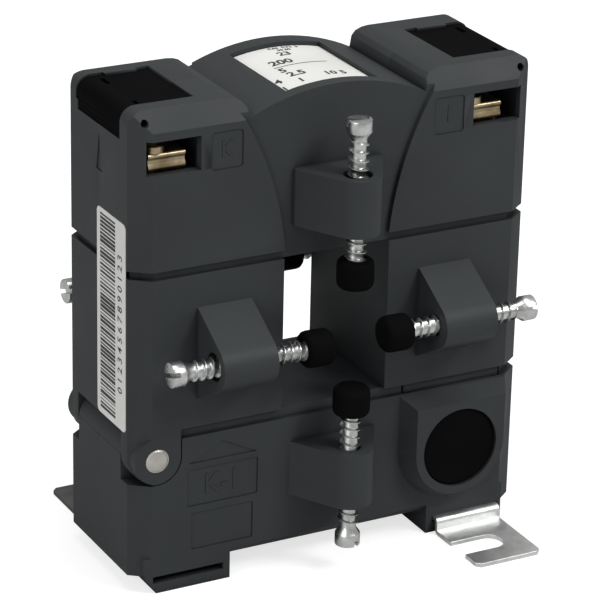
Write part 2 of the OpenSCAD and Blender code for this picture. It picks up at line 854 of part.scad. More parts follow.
// L-shaped flap: top panel, side panel and pivot stubs, drawn for the right side.
module cover_shape() {
    deep = bay_half - fit;
    out = cover_out;
    low = cover_low;
    color(black_colour) {
        difference() {
            along_y(-deep, deep) union() {
                translate([bay_in + fit, cover_top - cover_t]) square([out - 2.8 - bay_in - fit, cover_t]);
                translate([out - 2.8, cover_top - 2.8]) intersection() {
                    circle(2.8);
                    square(2.8);
                }
                translate([out - cover_t, low]) square([cover_t, cover_top - 2.8 - low]);
                translate([pivot_x - 1.4, pivot_z - 1.3]) square([out - pivot_x + 1.4 - cover_t + 0.1, 2.6]);
            }
            // relief slots beside the pivots
            box([out - 4.9, deep - 5, cover_top - 0.7], [out - 3.9, deep - 1.2, cover_top + 1]);
            box([out - 4.9, 1.2 - deep, cover_top - 0.7], [out - 3.9, 3.2 - deep, cover_top + 1]);
        }
        for (y = [0.5 - deep - 4, deep - 0.5]) translate([pivot_x, y, pivot_z]) rotate([-90, 0, 0])
            cylinder(h = 4, r = pivot_r - 0.07);
        // rear corner lugs
        box([bay_in + fit, deep - e, cover_top - cover_t], [bay_in + fit + lug_w, deep + lug_out, cover_top]);
        along_y(deep - e, deep + lug_out) intersection() {
            translate([pivot_x, pivot_z]) circle(lug_r);
            union() {
                translate([pivot_x - lug_r, cover_top - cover_t])
                    square([out - 2.8 - pivot_x + lug_r, cover_t]);
                translate([out - 2.8, cover_top - 2.8]) circle(2.8);
            }
        }
        // finger ribs on the side panel
        for (z = [low + 0.5 : 1.1 : low + 2.8])
            box([out - 0.1, -deep + 1, z], [out + 0.15, deep - 1, z + 0.5]);
    }
}

module left_terminal_cover() {
    mirror([1, 0, 0]) cover_shape();
}

module right_terminal_cover() {
    cover_shape();
}

// Brass saddle that the terminal screw presses on the wire.
module saddle(x) {
    color(brass_colour) difference() {
        box([x - brass_w / 2, -saddle_front, saddle_z],
            [x + brass_w / 2, -saddle_front + saddle_len, saddle_z + saddle_t]);
        // grooves in the face and along the underside
        along_x(x - brass_w, x + brass_w) translate([-saddle_front - 0.55, saddle_z + 1.2]) circle(1);
        along_y(-saddle_front - 1, -saddle_front + saddle_len + 1) translate([x, saddle_z - 0.5]) circle(0.9);
        translate([x, term_y, saddle_z - 1]) cylinder(h = saddle_t + 2, r = term_d / 2 + run);
    }
}

module left_terminal_saddle() {
    saddle(left_term_x);
}

module right_terminal_saddle() {
    saddle(right_term_x);
}

// Terminal screw: cheese head with a slot, shank through the saddle into the bar.
module terminal_screw(x) {
    z = saddle_z + saddle_t;
    color(zinc_colour) translate([x, term_y, z]) difference() {
        union() {
            cylinder(h = term_head_t, r = term_head_r);
            translate([0, 0, term_end_z - z]) cylinder(h = z - term_end_z + e, r = term_d / 2);
        }
        translate([-0.5, -5, term_head_t - 1.1]) cube([1, 10, 2]);
    }
}

module left_terminal_screw() {
    terminal_screw(left_term_x);
}

module right_terminal_screw() {
    terminal_screw(right_term_x);
}

// ---------- clamp screws and caps ----------

// Slotted screw in the boss frame, its tip seated in the cap; the shank is the thread's envelope.
module clamp_screw(gap) {
    rim = clamp_head_d / 2;
    core = clamp_core / 2;
    shank = clamp_d / 2;
    neck = head_t + neck_t;
    color(zinc_colour) translate([0, -boss_reach, clamp_len - cap_grip - gap]) rotate([180, 0, 0])
        difference() {
            rotate_extrude() polygon([[0, 0], [rim - 0.3, 0], [rim, 0.3], [rim, head_t],
                                      [core + 0.15, neck], [core + 0.15, neck + 1], [shank, neck + 1.4],
                                      [shank, clamp_len - 1], [core, clamp_len], [0, clamp_len]]);
            translate([-0.5, -clamp_head_d, -1]) cube([1, 2 * clamp_head_d, 2.3]);
        }
}

// Insulating cap in the boss frame, pushed on the screw's inner end.
module clamp_cap(gap) {
    r = cap_d / 2;
    soft = 0.8;
    color(black_colour) translate([0, -boss_reach, -gap]) rotate([180, 0, 0]) rotate_extrude() difference() {
        union() {
            square([r, cap_len - soft]);
            square([r - soft, cap_len]);
            translate([r - soft, cap_len - soft]) circle(soft);
        }
        translate([-2 * r, -r]) square([2 * r, 4 * r]);
        translate([-1, -1]) square([clamp_d / 2 + run + 1, cap_grip + 1.1]);
        polygon([[r - 0.4, -e], [r + 1, -e], [r + 1, 1], [r + e, 0.4]]);
    }
}

module front_top_cap() {
    at_clamp(0) clamp_cap(top_gap);
}

module front_left_cap() {
    at_clamp(1) clamp_cap(left_gap);
}

module front_right_cap() {
    at_clamp(2) clamp_cap(right_gap);
}

module front_bottom_cap() {
    at_clamp(3) clamp_cap(low_gap);
}

module front_top_screw() {
    at_clamp(0) clamp_screw(top_gap);
}

module front_left_screw() {
    at_clamp(1) clamp_screw(left_gap);
}

module front_right_screw() {
    at_clamp(2) clamp_screw(right_gap);
}

module front_bottom_screw() {
    at_clamp(3) clamp_screw(low_gap);
}

module rear_top_cap() {
    mirror([0, 1, 0]) front_top_cap();
}

module rear_left_cap() {
    mirror([0, 1, 0]) at_clamp(1) clamp_cap(rear_left_gap);
}

module rear_right_cap() {
    mirror([0, 1, 0]) front_right_cap();
}

module rear_bottom_cap() {
    mirror([0, 1, 0]) front_bottom_cap();
}

module rear_top_screw() {
    mirror([0, 1, 0]) front_top_screw();
}

module rear_left_screw() {
    mirror([0, 1, 0]) at_clamp(1) clamp_screw(rear_left_gap);
}

module rear_right_screw() {
    mirror([0, 1, 0]) front_right_screw();
}

module rear_bottom_screw() {
    mirror([0, 1, 0]) front_bottom_screw();
}

lower_front_shell();
lower_rear_shell();
lower_core();
core_spring();
hinge_pin();
front_foot_bracket();
rear_foot_bracket();
front_release_button();
rear_release_button();
upper_front_shell();
upper_rear_shell();
upper_core();
bobbin();
secondary_winding();
left_terminal_base();
right_terminal_base();
left_lead();
right_lead();
rating_label();
side_label();
left_terminal_cover();
right_terminal_cover();
left_terminal_saddle();
right_terminal_saddle();
left_terminal_screw();
right_terminal_screw();
front_top_cap();
front_top_screw();
front_left_cap();
front_left_screw();
front_right_cap();
front_right_screw();
front_bottom_cap();
front_bottom_screw();
rear_top_cap();
rear_top_screw();
rear_left_cap();
rear_left_screw();
rear_right_cap();
rear_right_screw();
rear_bottom_cap();
rear_bottom_screw();
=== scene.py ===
# %% [markdown]
# # A split-core current transformer
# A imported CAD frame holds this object's solids. This script adds what such a frame leaves
# out: soft edges, screw threads, prints, finishes, light and a camera. Lengths are in
# metres, unless a name or a comment says mm. Most places come from the CAD nodes' boxes.

# %% Frame
import bpy
import bmesh
import json
import math
from mathutils import Matrix, Vector


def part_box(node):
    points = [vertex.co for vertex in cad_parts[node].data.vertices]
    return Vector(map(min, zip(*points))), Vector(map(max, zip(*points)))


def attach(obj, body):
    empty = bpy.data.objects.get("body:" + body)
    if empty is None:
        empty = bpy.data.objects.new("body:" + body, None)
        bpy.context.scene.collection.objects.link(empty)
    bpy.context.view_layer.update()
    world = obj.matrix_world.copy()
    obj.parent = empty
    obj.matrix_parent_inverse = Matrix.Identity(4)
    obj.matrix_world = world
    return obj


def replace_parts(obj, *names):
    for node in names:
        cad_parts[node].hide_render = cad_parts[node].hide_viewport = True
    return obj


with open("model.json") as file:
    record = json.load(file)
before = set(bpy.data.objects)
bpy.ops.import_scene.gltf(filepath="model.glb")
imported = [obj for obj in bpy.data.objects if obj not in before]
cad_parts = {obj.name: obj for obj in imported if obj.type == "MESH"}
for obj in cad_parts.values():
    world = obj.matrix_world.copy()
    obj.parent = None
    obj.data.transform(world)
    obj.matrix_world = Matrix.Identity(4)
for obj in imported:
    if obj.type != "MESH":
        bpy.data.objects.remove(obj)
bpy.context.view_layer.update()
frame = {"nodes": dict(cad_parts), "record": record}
NODES = frame["nodes"]
MM = 0.001

# %% [markdown]
# Every piece of this object needs a mesh, one material and the body that carries it. Each step could
# set the three by itself. Here one helper sets them, so that none is forgotten, and two more look up
# the body and the slot of a CAD node.

# %% Helpers for pieces


def corners(node):
    """Lowest and highest corner of a CAD node's box."""
    low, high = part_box(node)
    return Vector(low), Vector(high)


def body_of_node(node):
    """Name of the body that carries a CAD node."""
    for body, nodes in frame["record"]["behaviour"]["bodies"].items():
        if node in nodes:
            return body
    raise ValueError(node)


def slot_of_node(node):
    """Material slot that the record gives a CAD node."""
    for part in frame["record"]["subparts"]:
        if part["node"] == node:
            return part["material_slot"]
    raise ValueError(node)


def new_object(name, mesh, material, body):
    """Puts a mesh in the scene as a piece that rides on a body."""
    piece = bpy.data.objects.new(name, mesh)
    bpy.context.scene.collection.objects.link(piece)
    mesh.materials.clear()
    mesh.materials.append(material)
    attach(piece, body)
    return piece


# the hinge pin ends flush with both faces of the housing
HALF_DEPTH = corners("hinge_pin")[1].y
HALF_WIDTH = corners("upper_front_shell")[1].x
print("housing, mm:", round(2 * HALF_WIDTH / MM, 1), "wide,", round(2 * HALF_DEPTH / MM, 1), "deep")

# %% [markdown]
# Round pieces such as screws and caps are shaded smooth but keep their crisp rims. One
# could mark each sharp edge by hand. Marking by angle finds them all, also after a change
# of size. A bmesh is a working shape: it is built first and then made a plain mesh.

# %% Helpers for meshes


def smooth_by_angle(mesh, degrees):
    """Smooth shading with sharp edges kept above an angle."""
    for face in mesh.polygons:
        face.use_smooth = True
    mesh.set_sharp_from_angle(angle=math.radians(degrees))


def plain_mesh(name, work):
    """Mesh of a working shape; the working shape is freed."""
    mesh = bpy.data.meshes.new(name)
    work.to_mesh(mesh)
    work.free()
    return mesh


def finished_mesh(name, work, degrees):
    """Mesh of a working shape, with its faces turned outwards and shaded by angle."""
    bmesh.ops.recalc_face_normals(work, faces=work.faces)
    mesh = plain_mesh(name, work)
    smooth_by_angle(mesh, degrees)
    return mesh


def evaluated_mesh(holder):
    """Plain mesh of an object with its modifiers or its text applied; the object goes."""
    graph = bpy.context.evaluated_depsgraph_get()
    mesh = bpy.data.meshes.new_from_object(holder.evaluated_get(graph))
    bpy.data.objects.remove(holder)
    return mesh


def linked_object(name, data):
    """Object that only serves to make or light something."""
    holder = bpy.data.objects.new(name, data)
    bpy.context.scene.collection.objects.link(holder)
    return holder


print("helpers ready for", len(NODES), "CAD nodes")

# %% [markdown]
# The object is seen through a long lens, about 28 degrees to the left of its front and 23
# degrees above it. A camera could be placed by hand and aimed with a constraint. Here its
# turn is built from azimuth, elevation and a small roll, so that each can be changed alone.

# %% Camera
AZIMUTH = -0.494
ELEVATION = 0.394
ROLL = 0.023
DISTANCE = 668.3 * MM
LENS_MM = 187.446
SENSOR_MM = 36.0
AIM = Vector((0.0, 0.0, 53.0 * MM))
SIDESTEP = (0.544 * MM, 0.179 * MM)


def make_camera():
    back = Vector((math.sin(AZIMUTH) * math.cos(ELEVATION),
                   -math.cos(AZIMUTH) * math.cos(ELEVATION), math.sin(ELEVATION)))
    right = Vector((math.cos(AZIMUTH), math.sin(AZIMUTH), 0.0))
    up = back.cross(right)
    eye = AIM + right * SIDESTEP[0] + up * SIDESTEP[1] + back * DISTANCE
    rolled_right = right * math.cos(ROLL) + up * math.sin(ROLL)
    rolled_up = up * math.cos(ROLL) - right * math.sin(ROLL)
    data = bpy.data.cameras.new("camera")
    data.sensor_width = SENSOR_MM
    data.lens = LENS_MM
    data.clip_end = 10.0
    camera = linked_object("camera", data)
    turn = Matrix((rolled_right, rolled_up, back)).transposed().to_4x4()
    camera.matrix_world = Matrix.Translation(eye) @ turn
    bpy.context.scene.camera = camera
    print("camera at, mm:", [round(v / MM, 1) for v in eye], "lens", LENS_MM)


make_camera()

# %% [markdown]
# Several finishes share an effect, such as a fine relief. The effect could be built again in
# every material. A shader group is built once and takes its own values in each.
# The groups give normals and masks only, because fixed values belong on the shader. Noise
# and bump come up more than once, so these two nodes get a helper each.

# %% Parts of a shader group


def group_shell(name, inputs, outputs):
    """Empty shader group with float inputs and typed outputs."""
    tree = bpy.data.node_groups.new(name, "ShaderNodeTree")
    for label, value in inputs:
        socket = tree.interface.new_socket(name=label, in_out="INPUT", socket_type="NodeSocketFloat")
        socket.default_value = value
    for label, kind in outputs:
        tree.interface.new_socket(name=label, in_out="OUTPUT", socket_type=kind)
    return tree, tree.nodes.new("NodeGroupInput"), tree.nodes.new("NodeGroupOutput")


def noise(nodes, links, coord, scale, detail=2.0, roughness=0.5):
    """Noise on Object coordinates; the scale is a number or a group input."""
    texture = nodes.new("ShaderNodeTexNoise")
    texture.inputs["Detail"].default_value = detail
    texture.inputs["Roughness"].default_value = roughness
    links.new(coord.outputs["Object"], texture.inputs["Vector"])
    if isinstance(scale, float):
        texture.inputs["Scale"].default_value = scale
    else:
        links.new(scale, texture.inputs["Scale"])
    return texture.outputs["Fac"]


def bump(nodes, links, height, strength, distance):
    """Normal that follows a height over a distance."""
    node = nodes.new("ShaderNodeBump")
    node.inputs["Distance"].default_value = distance
    links.new(strength, node.inputs["Strength"])
    links.new(height, node.inputs["Height"])
    return node.outputs["Normal"]


NORMAL_AND = [("Normal", "NodeSocketVector")]
print("bump and noise helpers ready")

# %% [markdown]
# The housing's mould is spark-eroded, so its plastic has a fine grain and a colour that
# drifts a little over a centimetre or two. A displaced mesh could carry the grain, but would
# need millions of faces. A bump of fine noise gives the same glint, and a wide noise the drift.

# %% Moulded grain
GRAIN_RELIEF = 0.05 * MM
MOTTLE_SCALE = 55.0


def moulded_grain():
    """Fine spark-eroded grain of moulded plastic, with slow hills under it."""
    tree, start, end = group_shell("moulded_grain", [("Scale", 2500.0), ("Depth", 0.2)],
                                   NORMAL_AND + [("Mottle", "NodeSocketFloat")])
    nodes, links = tree.nodes, tree.links
    coord = nodes.new("ShaderNodeTexCoord")
    fine = noise(nodes, links, coord, start.outputs["Scale"], detail=3.0)
    wide = noise(nodes, links, coord, MOTTLE_SCALE, detail=4.0)
    links.new(bump(nodes, links, fine, start.outputs["Depth"], GRAIN_RELIEF), end.inputs["Normal"])
    links.new(wide, end.inputs["Mottle"])
    return tree


GRAIN = moulded_grain()
print("group:", GRAIN.name)

# %% [markdown]
# Zinc plating is passivated in a bath and dries in clouds: some places are brighter and
# smoother than others. The clouds could be painted by hand on each screw. A noise with much
# detail makes them on every screw at once, and a second, finer one ripples the surface.

# %% Plating haze
RIPPLE_SCALE = 1500.0
RIPPLE_RELIEF = 0.06 * MM


def plating_haze():
    """Uneven passivation on zinc plating: a colour mask and a fine ripple."""
    tree, start, end = group_shell("plating_haze", [("Scale", 180.0), ("Depth", 0.15)],
                                   NORMAL_AND + [("Haze", "NodeSocketFloat")])
    nodes, links = tree.nodes, tree.links
    coord = nodes.new("ShaderNodeTexCoord")
    haze = noise(nodes, links, coord, start.outputs["Scale"], detail=5.0, roughness=0.65)
    ripple = noise(nodes, links, coord, RIPPLE_SCALE)
    links.new(bump(nodes, links, ripple, start.outputs["Depth"], RIPPLE_RELIEF), end.inputs["Normal"])
    links.new(haze, end.inputs["Haze"])
    return tree


HAZE = plating_haze()
print("group:", HAZE.name)

# %% [markdown]
# The core is a stack of thin steel sheets and the winding is many turns of wire. Sheets and
# turns could be modelled one by one, but they are inside the housing and seldom seen. Fine
# stripes in a bump and in the colour tell enough of both.

# %% Stacked sheets
SHEET_RELIEF = 0.1 * MM


def stacked_sheets():
    """Edges of stacked sheets or turns, as fine stripes across one axis."""
    tree, start, end = group_shell("stacked_sheets", [("Scale", 300.0), ("Depth", 0.6)],
                                   NORMAL_AND + [("Stripe", "NodeSocketFloat")])
    nodes, links = tree.nodes, tree.links
    coord = nodes.new("ShaderNodeTexCoord")
    wave = nodes.new("ShaderNodeTexWave")
    wave.inputs["Distortion"].default_value = 0.6
    wave.inputs["Detail"].default_value = 1.0
    links.new(coord.outputs["Object"], wave.inputs["Vector"])
    links.new(start.outputs["Scale"], wave.inputs["Scale"])
    stripe = wave.outputs["Fac"]
    links.new(bump(nodes, links, stripe, start.outputs["Depth"], SHEET_RELIEF), end.inputs["Normal"])
    links.new(stripe, end.inputs["Stripe"])
    return tree


SHEETS = stacked_sheets()
print("group:", SHEETS.name)

# %% [markdown]
# Little light reaches the bottom of the housing's slots and wells. A longer render with less
# soft light could show that alone. The Ambient Occlusion node asks how open a place is, and
# here it darkens the narrow ones a little more, so that the fine slots read from afar.

# %% Shade in narrow places
OPENNESS = (0.25, 0.75)
CAVITY_SAMPLES = 6


def cavity_shade():
    """Mask that falls from 1 in the open towards its floor in slots, wells and corners."""
    tree, start, end = group_shell("cavity_shade", [("Reach", 0.004), ("Floor", 0.25)],
                                   [("Mask", "NodeSocketFloat")])
    nodes, links = tree.nodes, tree.links
    near = nodes.new("ShaderNodeAmbientOcclusion")
    near.samples = CAVITY_SAMPLES
    links.new(start.outputs["Reach"], near.inputs["Distance"])
    lift = nodes.new("ShaderNodeMapRange")
    lift.inputs["From Min"].default_value = OPENNESS[0]
    lift.inputs["From Max"].default_value = OPENNESS[1]
    lift.inputs["To Max"].default_value = 1.0
    links.new(near.outputs["AO"], lift.inputs["Value"])
    links.new(start.outputs["Floor"], lift.inputs["To Min"])
    links.new(lift.outputs["Result"], end.inputs["Mask"])
    return tree


CAVITY = cavity_shade()
print("group:", CAVITY.name)

# %% [markdown]
# No real surface has one flat colour. Each material blends two close colours through a
# group's mask and lets its roughness follow the same mask. Three makers cover the object:
# plastic, plated metal, and striped metal for the wire and the core's sheets.

# %% Parts of a material


def material_base(name, group, scale, depth):
    """Material with a Principled shader whose normal comes from a shared group."""
    mat = bpy.data.materials.new(name)
    mat.use_nodes = True
    nodes, links = mat.node_tree.nodes, mat.node_tree.links
    shader = nodes["Principled BSDF"]
    effect = nodes.new("ShaderNodeGroup")
    effect.node_tree = group
    effect.inputs["Scale"].default_value = scale
    effect.inputs["Depth"].default_value = depth
    links.new(effect.outputs["Normal"], shader.inputs["Normal"])
    return mat, nodes, links, shader, effect


def blend_colours(nodes, links, mask, low, high, span=(0.35, 0.65)):
    """Ramp from one colour to another along a mask; gives the colour socket."""
    ramp = nodes.new("ShaderNodeValToRGB")
    for element, place, colour in zip(ramp.color_ramp.elements, span, (low, high)):
        element.position = place
        element.color = (*colour, 1.0)
    links.new(mask, ramp.inputs["Fac"])
    return ramp.outputs["Color"]


def darken_cavities(nodes, links, colour, reach):
    """Multiplies a colour by the cavity mask; sockets 6 and 7 are the Mix node's colours."""
    effect = nodes.new("ShaderNodeGroup")
    effect.node_tree = CAVITY
    effect.inputs["Reach"].default_value = reach
    mix = nodes.new("ShaderNodeMix")
    mix.data_type = "RGBA"
    mix.blend_type = "MULTIPLY"
    mix.inputs[0].default_value = 1.0
    links.new(colour, mix.inputs[6])
    links.new(effect.outputs["Mask"], mix.inputs[7])
    return mix.outputs[2]


def spread_roughness(nodes, links, mask, rough, shader, span=(0.3, 0.7)):
    """Roughness that follows a mask between two values."""
    spread = nodes.new("ShaderNodeMapRange")
    spread.inputs["From Min"].default_value = span[0]
    spread.inputs["From Max"].default_value = span[1]
    spread.inputs["To Min"].default_value = rough[0]
    spread.inputs["To Max"].default_value = rough[1]
    links.new(mask, spread.inputs["Value"])
    links.new(spread.outputs["Result"], shader.inputs["Roughness"])


print("colour and roughness helpers ready")

# %% [markdown]
# Plastic is not metallic and takes its gloss from the Specular socket; metal takes it from
# its colour and roughness. One maker with many switches could serve both, but three short
# ones are easier to read. What is the same all over a piece is set on the shader's socket.

# %% Three makers of materials


def plastic(name, low, high, rough, scale, depth, specular, cavity=0.0):
    """Moulded plastic, paper or ink; a cavity reach above 0 shades its narrow places."""
    mat, nodes, links, shader, effect = material_base(name, GRAIN, scale, depth)
    mottle = effect.outputs["Mottle"]
    colour = blend_colours(nodes, links, mottle, low, high)
    if cavity:
        colour = darken_cavities(nodes, links, colour, cavity)
    links.new(colour, shader.inputs["Base Color"])
    spread_roughness(nodes, links, mottle, rough, shader)
    shader.inputs["Specular IOR Level"].default_value = specular
    return mat


def plated(name, low, high, rough, scale, depth):
    """Metal whose colour and gloss drift with the haze of its plating."""
    mat, nodes, links, shader, effect = material_base(name, HAZE, scale, depth)
    haze = effect.outputs["Haze"]
    links.new(blend_colours(nodes, links, haze, low, high), shader.inputs["Base Color"])
    spread_roughness(nodes, links, haze, rough, shader)
    shader.inputs["Metallic"].default_value = 1.0
    return mat


def striped(name, low, high, rough, scale, depth=0.6):
    """Metal in fine layers, such as wound wire or stacked core sheets."""
    mat, nodes, links, shader, effect = material_base(name, SHEETS, scale, depth)
    colour = blend_colours(nodes, links, effect.outputs["Stripe"], low, high)
    links.new(colour, shader.inputs["Base Color"])
    shader.inputs["Roughness"].default_value = rough
    shader.inputs["Metallic"].default_value = 1.0
    return mat


print("makers: plastic, plated, striped")

# %% [markdown]
# The housing is dark grey, the covers, caps and buttons are nearly black and very matt, the
# front bracket is the brightest zinc. Colours could be guessed from the lists of a paint
# maker, but shading changes them much: these were chosen by comparing renders in this light.

# %% Materials
MATS = {
    "housing": plastic("housing", low=(0.028, 0.031, 0.033), high=(0.032, 0.036, 0.038),
                       rough=(0.5, 0.62), scale=2600, depth=0.35, specular=0.22, cavity=2.5 * MM),
    "black_plastic": plastic("black_plastic", low=(0.003, 0.003, 0.003),
                             high=(0.0045, 0.0045, 0.0045), rough=(0.6, 0.75),
                             scale=2200, depth=0.3, specular=0.012),
    "label": plastic("label_stock", low=(0.66, 0.66, 0.635), high=(0.72, 0.72, 0.695),
                     rough=(0.45, 0.6), scale=900, depth=0.08, specular=0.3),
    "ink": plastic("print_ink", low=(0.022, 0.02, 0.02), high=(0.045, 0.042, 0.04),
                   rough=(0.5, 0.6), scale=3000, depth=0.1, specular=0.3),
    "bracket_steel": plated("bracket_steel", low=(0.66, 0.67, 0.65), high=(0.84, 0.85, 0.84),
                            rough=(0.36, 0.5), scale=240, depth=0.3),
    "zinc_steel": plated("zinc_steel", low=(0.5, 0.51, 0.49), high=(0.72, 0.73, 0.72),
                         rough=(0.22, 0.38), scale=240, depth=0.3),
    "dark_steel": plated("dark_steel", low=(0.1, 0.1, 0.1), high=(0.16, 0.16, 0.155),
                         rough=(0.4, 0.55), scale=200, depth=0.3),
    "pin_steel": plated("pin_steel", low=(0.5, 0.48, 0.44), high=(0.62, 0.6, 0.56),
                        rough=(0.4, 0.5), scale=200, depth=0.2),
    "brass": plated("brass", low=(0.27, 0.21, 0.12), high=(0.5, 0.41, 0.27),
                    rough=(0.28, 0.42), scale=220, depth=0.3),
    "copper": striped("copper_wire", low=(0.35, 0.13, 0.06), high=(0.6, 0.28, 0.15),
                      rough=0.35, scale=420),
    "core_steel": striped("core_sheets", low=(0.12, 0.12, 0.125), high=(0.3, 0.3, 0.31),
                          rough=0.45, scale=320),
}
print("materials:", sorted(MATS))

# %% [markdown]
# Every CAD node first gets the finish that its slot names, also the core and the winding
# inside. Each could be painted by name. Walking over all nodes misses none, and later steps
# replace only those nodes that need more detail than the frame has.

# %% Paint on the CAD nodes


def paint_cad_nodes():
    """Gives every CAD node the material of its slot."""
    for name, node in NODES.items():
        mat = MATS[slot_of_node(name)]
        if not node.material_slots:
            node.data.materials.append(mat)
        for holder in node.material_slots:
            holder.material = mat
    print("painted:", len(NODES), "nodes")


paint_cad_nodes()

# %% [markdown]
# The visible shells differ a little from their CAD solids: the wall behind each wire window
# stands close to the front, the finger ribs of the covers are worn down to a trace, and the
# screw bosses slope more. New meshes could be drawn for them. Moving the points of a copy
# keeps every other face in its place, so that neighbours still fit.

# %% Small changes of shape
# the wall behind a wire window: where CAD has it, where it is wanted, and its reach
CAD_PORT_WALL_Y = -HALF_DEPTH + 3.7 * MM
PORT_WALL_Y = -HALF_DEPTH + 2.3 * MM
PORT_INNER_X = 30.0 * MM
PORT_Z = (91.5 * MM, 101.5 * MM)
ON_WALL = 0.02 * MM
COVER_SIDE_X = HALF_WIDTH - 0.15 * MM
# middle of each screw boss's root (x, z in mm) and the direction in which its screw's head lies
BOSSES = (((0.0, 77.8), (0, 1)), ((-19.75, 53.4), (-1, 0)),
          ((19.75, 53.4), (1, 0)), ((0.0, 29.1), (0, -1)))
# a boss's height at the housing, half its breadth and its reach outwards, in mm
BOSS_TALL = 12.4
BOSS_HALF = 10.6
BOSS_OUT = (-1.5, 13.0)
BOSS_SLOPE = math.tan(math.radians(15))
BOSS_STEEPER = math.tan(math.radians(25))
NEAR_MM = 0.03


def thin_port_wall(mesh):
    """Brings the wall behind each wire window close to the front face."""
    for v in mesh.vertices:
        on_wall = abs(v.co.y - CAD_PORT_WALL_Y) < ON_WALL
        if on_wall and abs(v.co.x) > PORT_INNER_X and PORT_Z[0] < v.co.z < PORT_Z[1]:
            v.co.y = PORT_WALL_Y


def flatten_ribs(mesh):
    """Leaves only a trace of the finger ribs on a cover's side."""
    for v in mesh.vertices:
        v.co.x = max(-COVER_SIDE_X, min(COVER_SIDE_X, v.co.x))


def steepen_bosses(mesh):
    """Slopes the head side of every screw boss more, from the housing out to its nose."""
    for v in mesh.vertices:
        x, y, z = (c / MM for c in v.co)
        out = abs(y) - HALF_DEPTH / MM
        for (foot_x, foot_z), (ax, az) in BOSSES:
            along = (x - foot_x) * ax + (z - foot_z) * az
            aside = (x - foot_x) * az - (z - foot_z) * ax
            on_slope = abs(along - BOSS_TALL + BOSS_SLOPE * out) < NEAR_MM
            if on_slope and BOSS_OUT[0] < out < BOSS_OUT[1] and abs(aside) < BOSS_HALF:
                drop = (BOSS_STEEPER - BOSS_SLOPE) * out * MM
                v.co.x -= ax * drop
                v.co.z -= az * drop


def reshape(node, mesh):
    """The changes that one node's copy takes."""
    if node == "upper_front_shell":
        thin_port_wall(mesh)
    if node.endswith("shell"):
        steepen_bosses(mesh)
    if node.endswith("cover"):
        flatten_ribs(mesh)


print("port wall from", round(CAD_PORT_WALL_Y / MM, 2), "to", round(PORT_WALL_Y / MM, 2), "mm")

# %% [markdown]
# A moulded housing has no knife edges: its mould gives every corner a small radius that
# catches the light. One bevel width for all edges would be simple, but it swallows narrow
# steps, such as the outlines of the moulded fields. An edge weight between 0 and 1 scales
# the width: full between broad faces, and less where one of the faces is a narrow step.

# %% Edge weights
SHARP_DEG = 25
# a bevel's least weight, and the step, in bevel widths, that takes the full weight
LEAST_WEIGHT = 0.1
STEP_SHARE = 2.6
# a face that runs smoothly on over a long edge counts as broad, whatever its own breadth
LONG_EDGE = 0.5
BROAD = 1.0


def set_edge_weights(work, width):
    """Full rounding on edges between broad faces, less where a face is a narrow step."""
    layer = work.edges.layers.float.new("bevel_weight_edge")
    sharp = {e for e in work.edges
             if len(e.link_faces) == 2 and e.calc_face_angle(0.0) > math.radians(SHARP_DEG)}
    breadth = {}
    for face in work.faces:
        longest = max(e.calc_length() for e in face.edges)
        smooth = any(e.calc_length() > LONG_EDGE * longest and e not in sharp for e in face.edges)
        breadth[face] = BROAD if smooth else face.calc_area() / longest
    for edge in sharp:
        step = min(breadth[face] for face in edge.link_faces)
        edge[layer] = min(1.0, max(LEAST_WEIGHT, step / (STEP_SHARE * width)))


print("edges above", SHARP_DEG, "degrees are rounded")

# %% [markdown]
# CAD could carry the roundings, but they are too fine for what CAD is needed for. So each
# moulded or pressed piece is copied here. The copy's loose triangles are merged and its flat
# faces joined, or the bevel would round lines that are not edges at all. Harden Normals then
# keeps the broad faces flat between their rounded edges.

# %% Softened copies
EDGE_MM = {
    "upper_front_shell": 0.6, "upper_rear_shell": 0.6,
    "lower_front_shell": 0.6, "lower_rear_shell": 0.6,
    "left_terminal_cover": 0.25, "right_terminal_cover": 0.25,
    "front_release_button": 0.25, "rear_release_button": 0.25,
    "front_foot_bracket": 0.12, "rear_foot_bracket": 0.12,
    "left_terminal_saddle": 0.2, "right_terminal_saddle": 0.2,
}
WELD = 0.002 * MM
FLAT_DEG = 0.5
SHADE_DEG = 30


def softened_copy(node, width):
    """Copy of a CAD node with merged faces and rounded edges; it replaces the node."""
    mesh = NODES[node].data.copy()
    mesh.name = node + "_soft"
    reshape(node, mesh)
    work = bmesh.new()
    work.from_mesh(mesh)
    bmesh.ops.remove_doubles(work, verts=work.verts, dist=WELD)
    bmesh.ops.dissolve_limit(work, angle_limit=math.radians(FLAT_DEG),
                             verts=work.verts, edges=work.edges)
    set_edge_weights(work, width)
    work.to_mesh(mesh)
    work.free()
    look = "bracket_steel" if node == "front_foot_bracket" else slot_of_node(node)
    piece = new_object(node + "_soft", mesh, MATS[look], body_of_node(node))
    bevel = piece.modifiers.new("soft_edges", "BEVEL")
    bevel.width = width
    bevel.segments = 2
    bevel.limit_method = "WEIGHT"
    bevel.use_clamp_overlap = True
    bevel.harden_normals = True
    smooth_by_angle(mesh, SHADE_DEG)
    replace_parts(piece, node)


for node_name, edge_width in EDGE_MM.items():
    softened_copy(node_name, edge_width * MM)
print("softened:", len(EDGE_MM), "pieces")

# %% [markdown]
# Screws, caps, collars and the pin's ends are all turned on a lathe. A Screw modifier could
# turn their outlines. A short function does it in fewer steps: it sets a ring of points
# for each point of the outline, and both ends close to a single point.

# %% A turned shape
LATHE_STEPS = 48
ON_AXIS = 1e-9


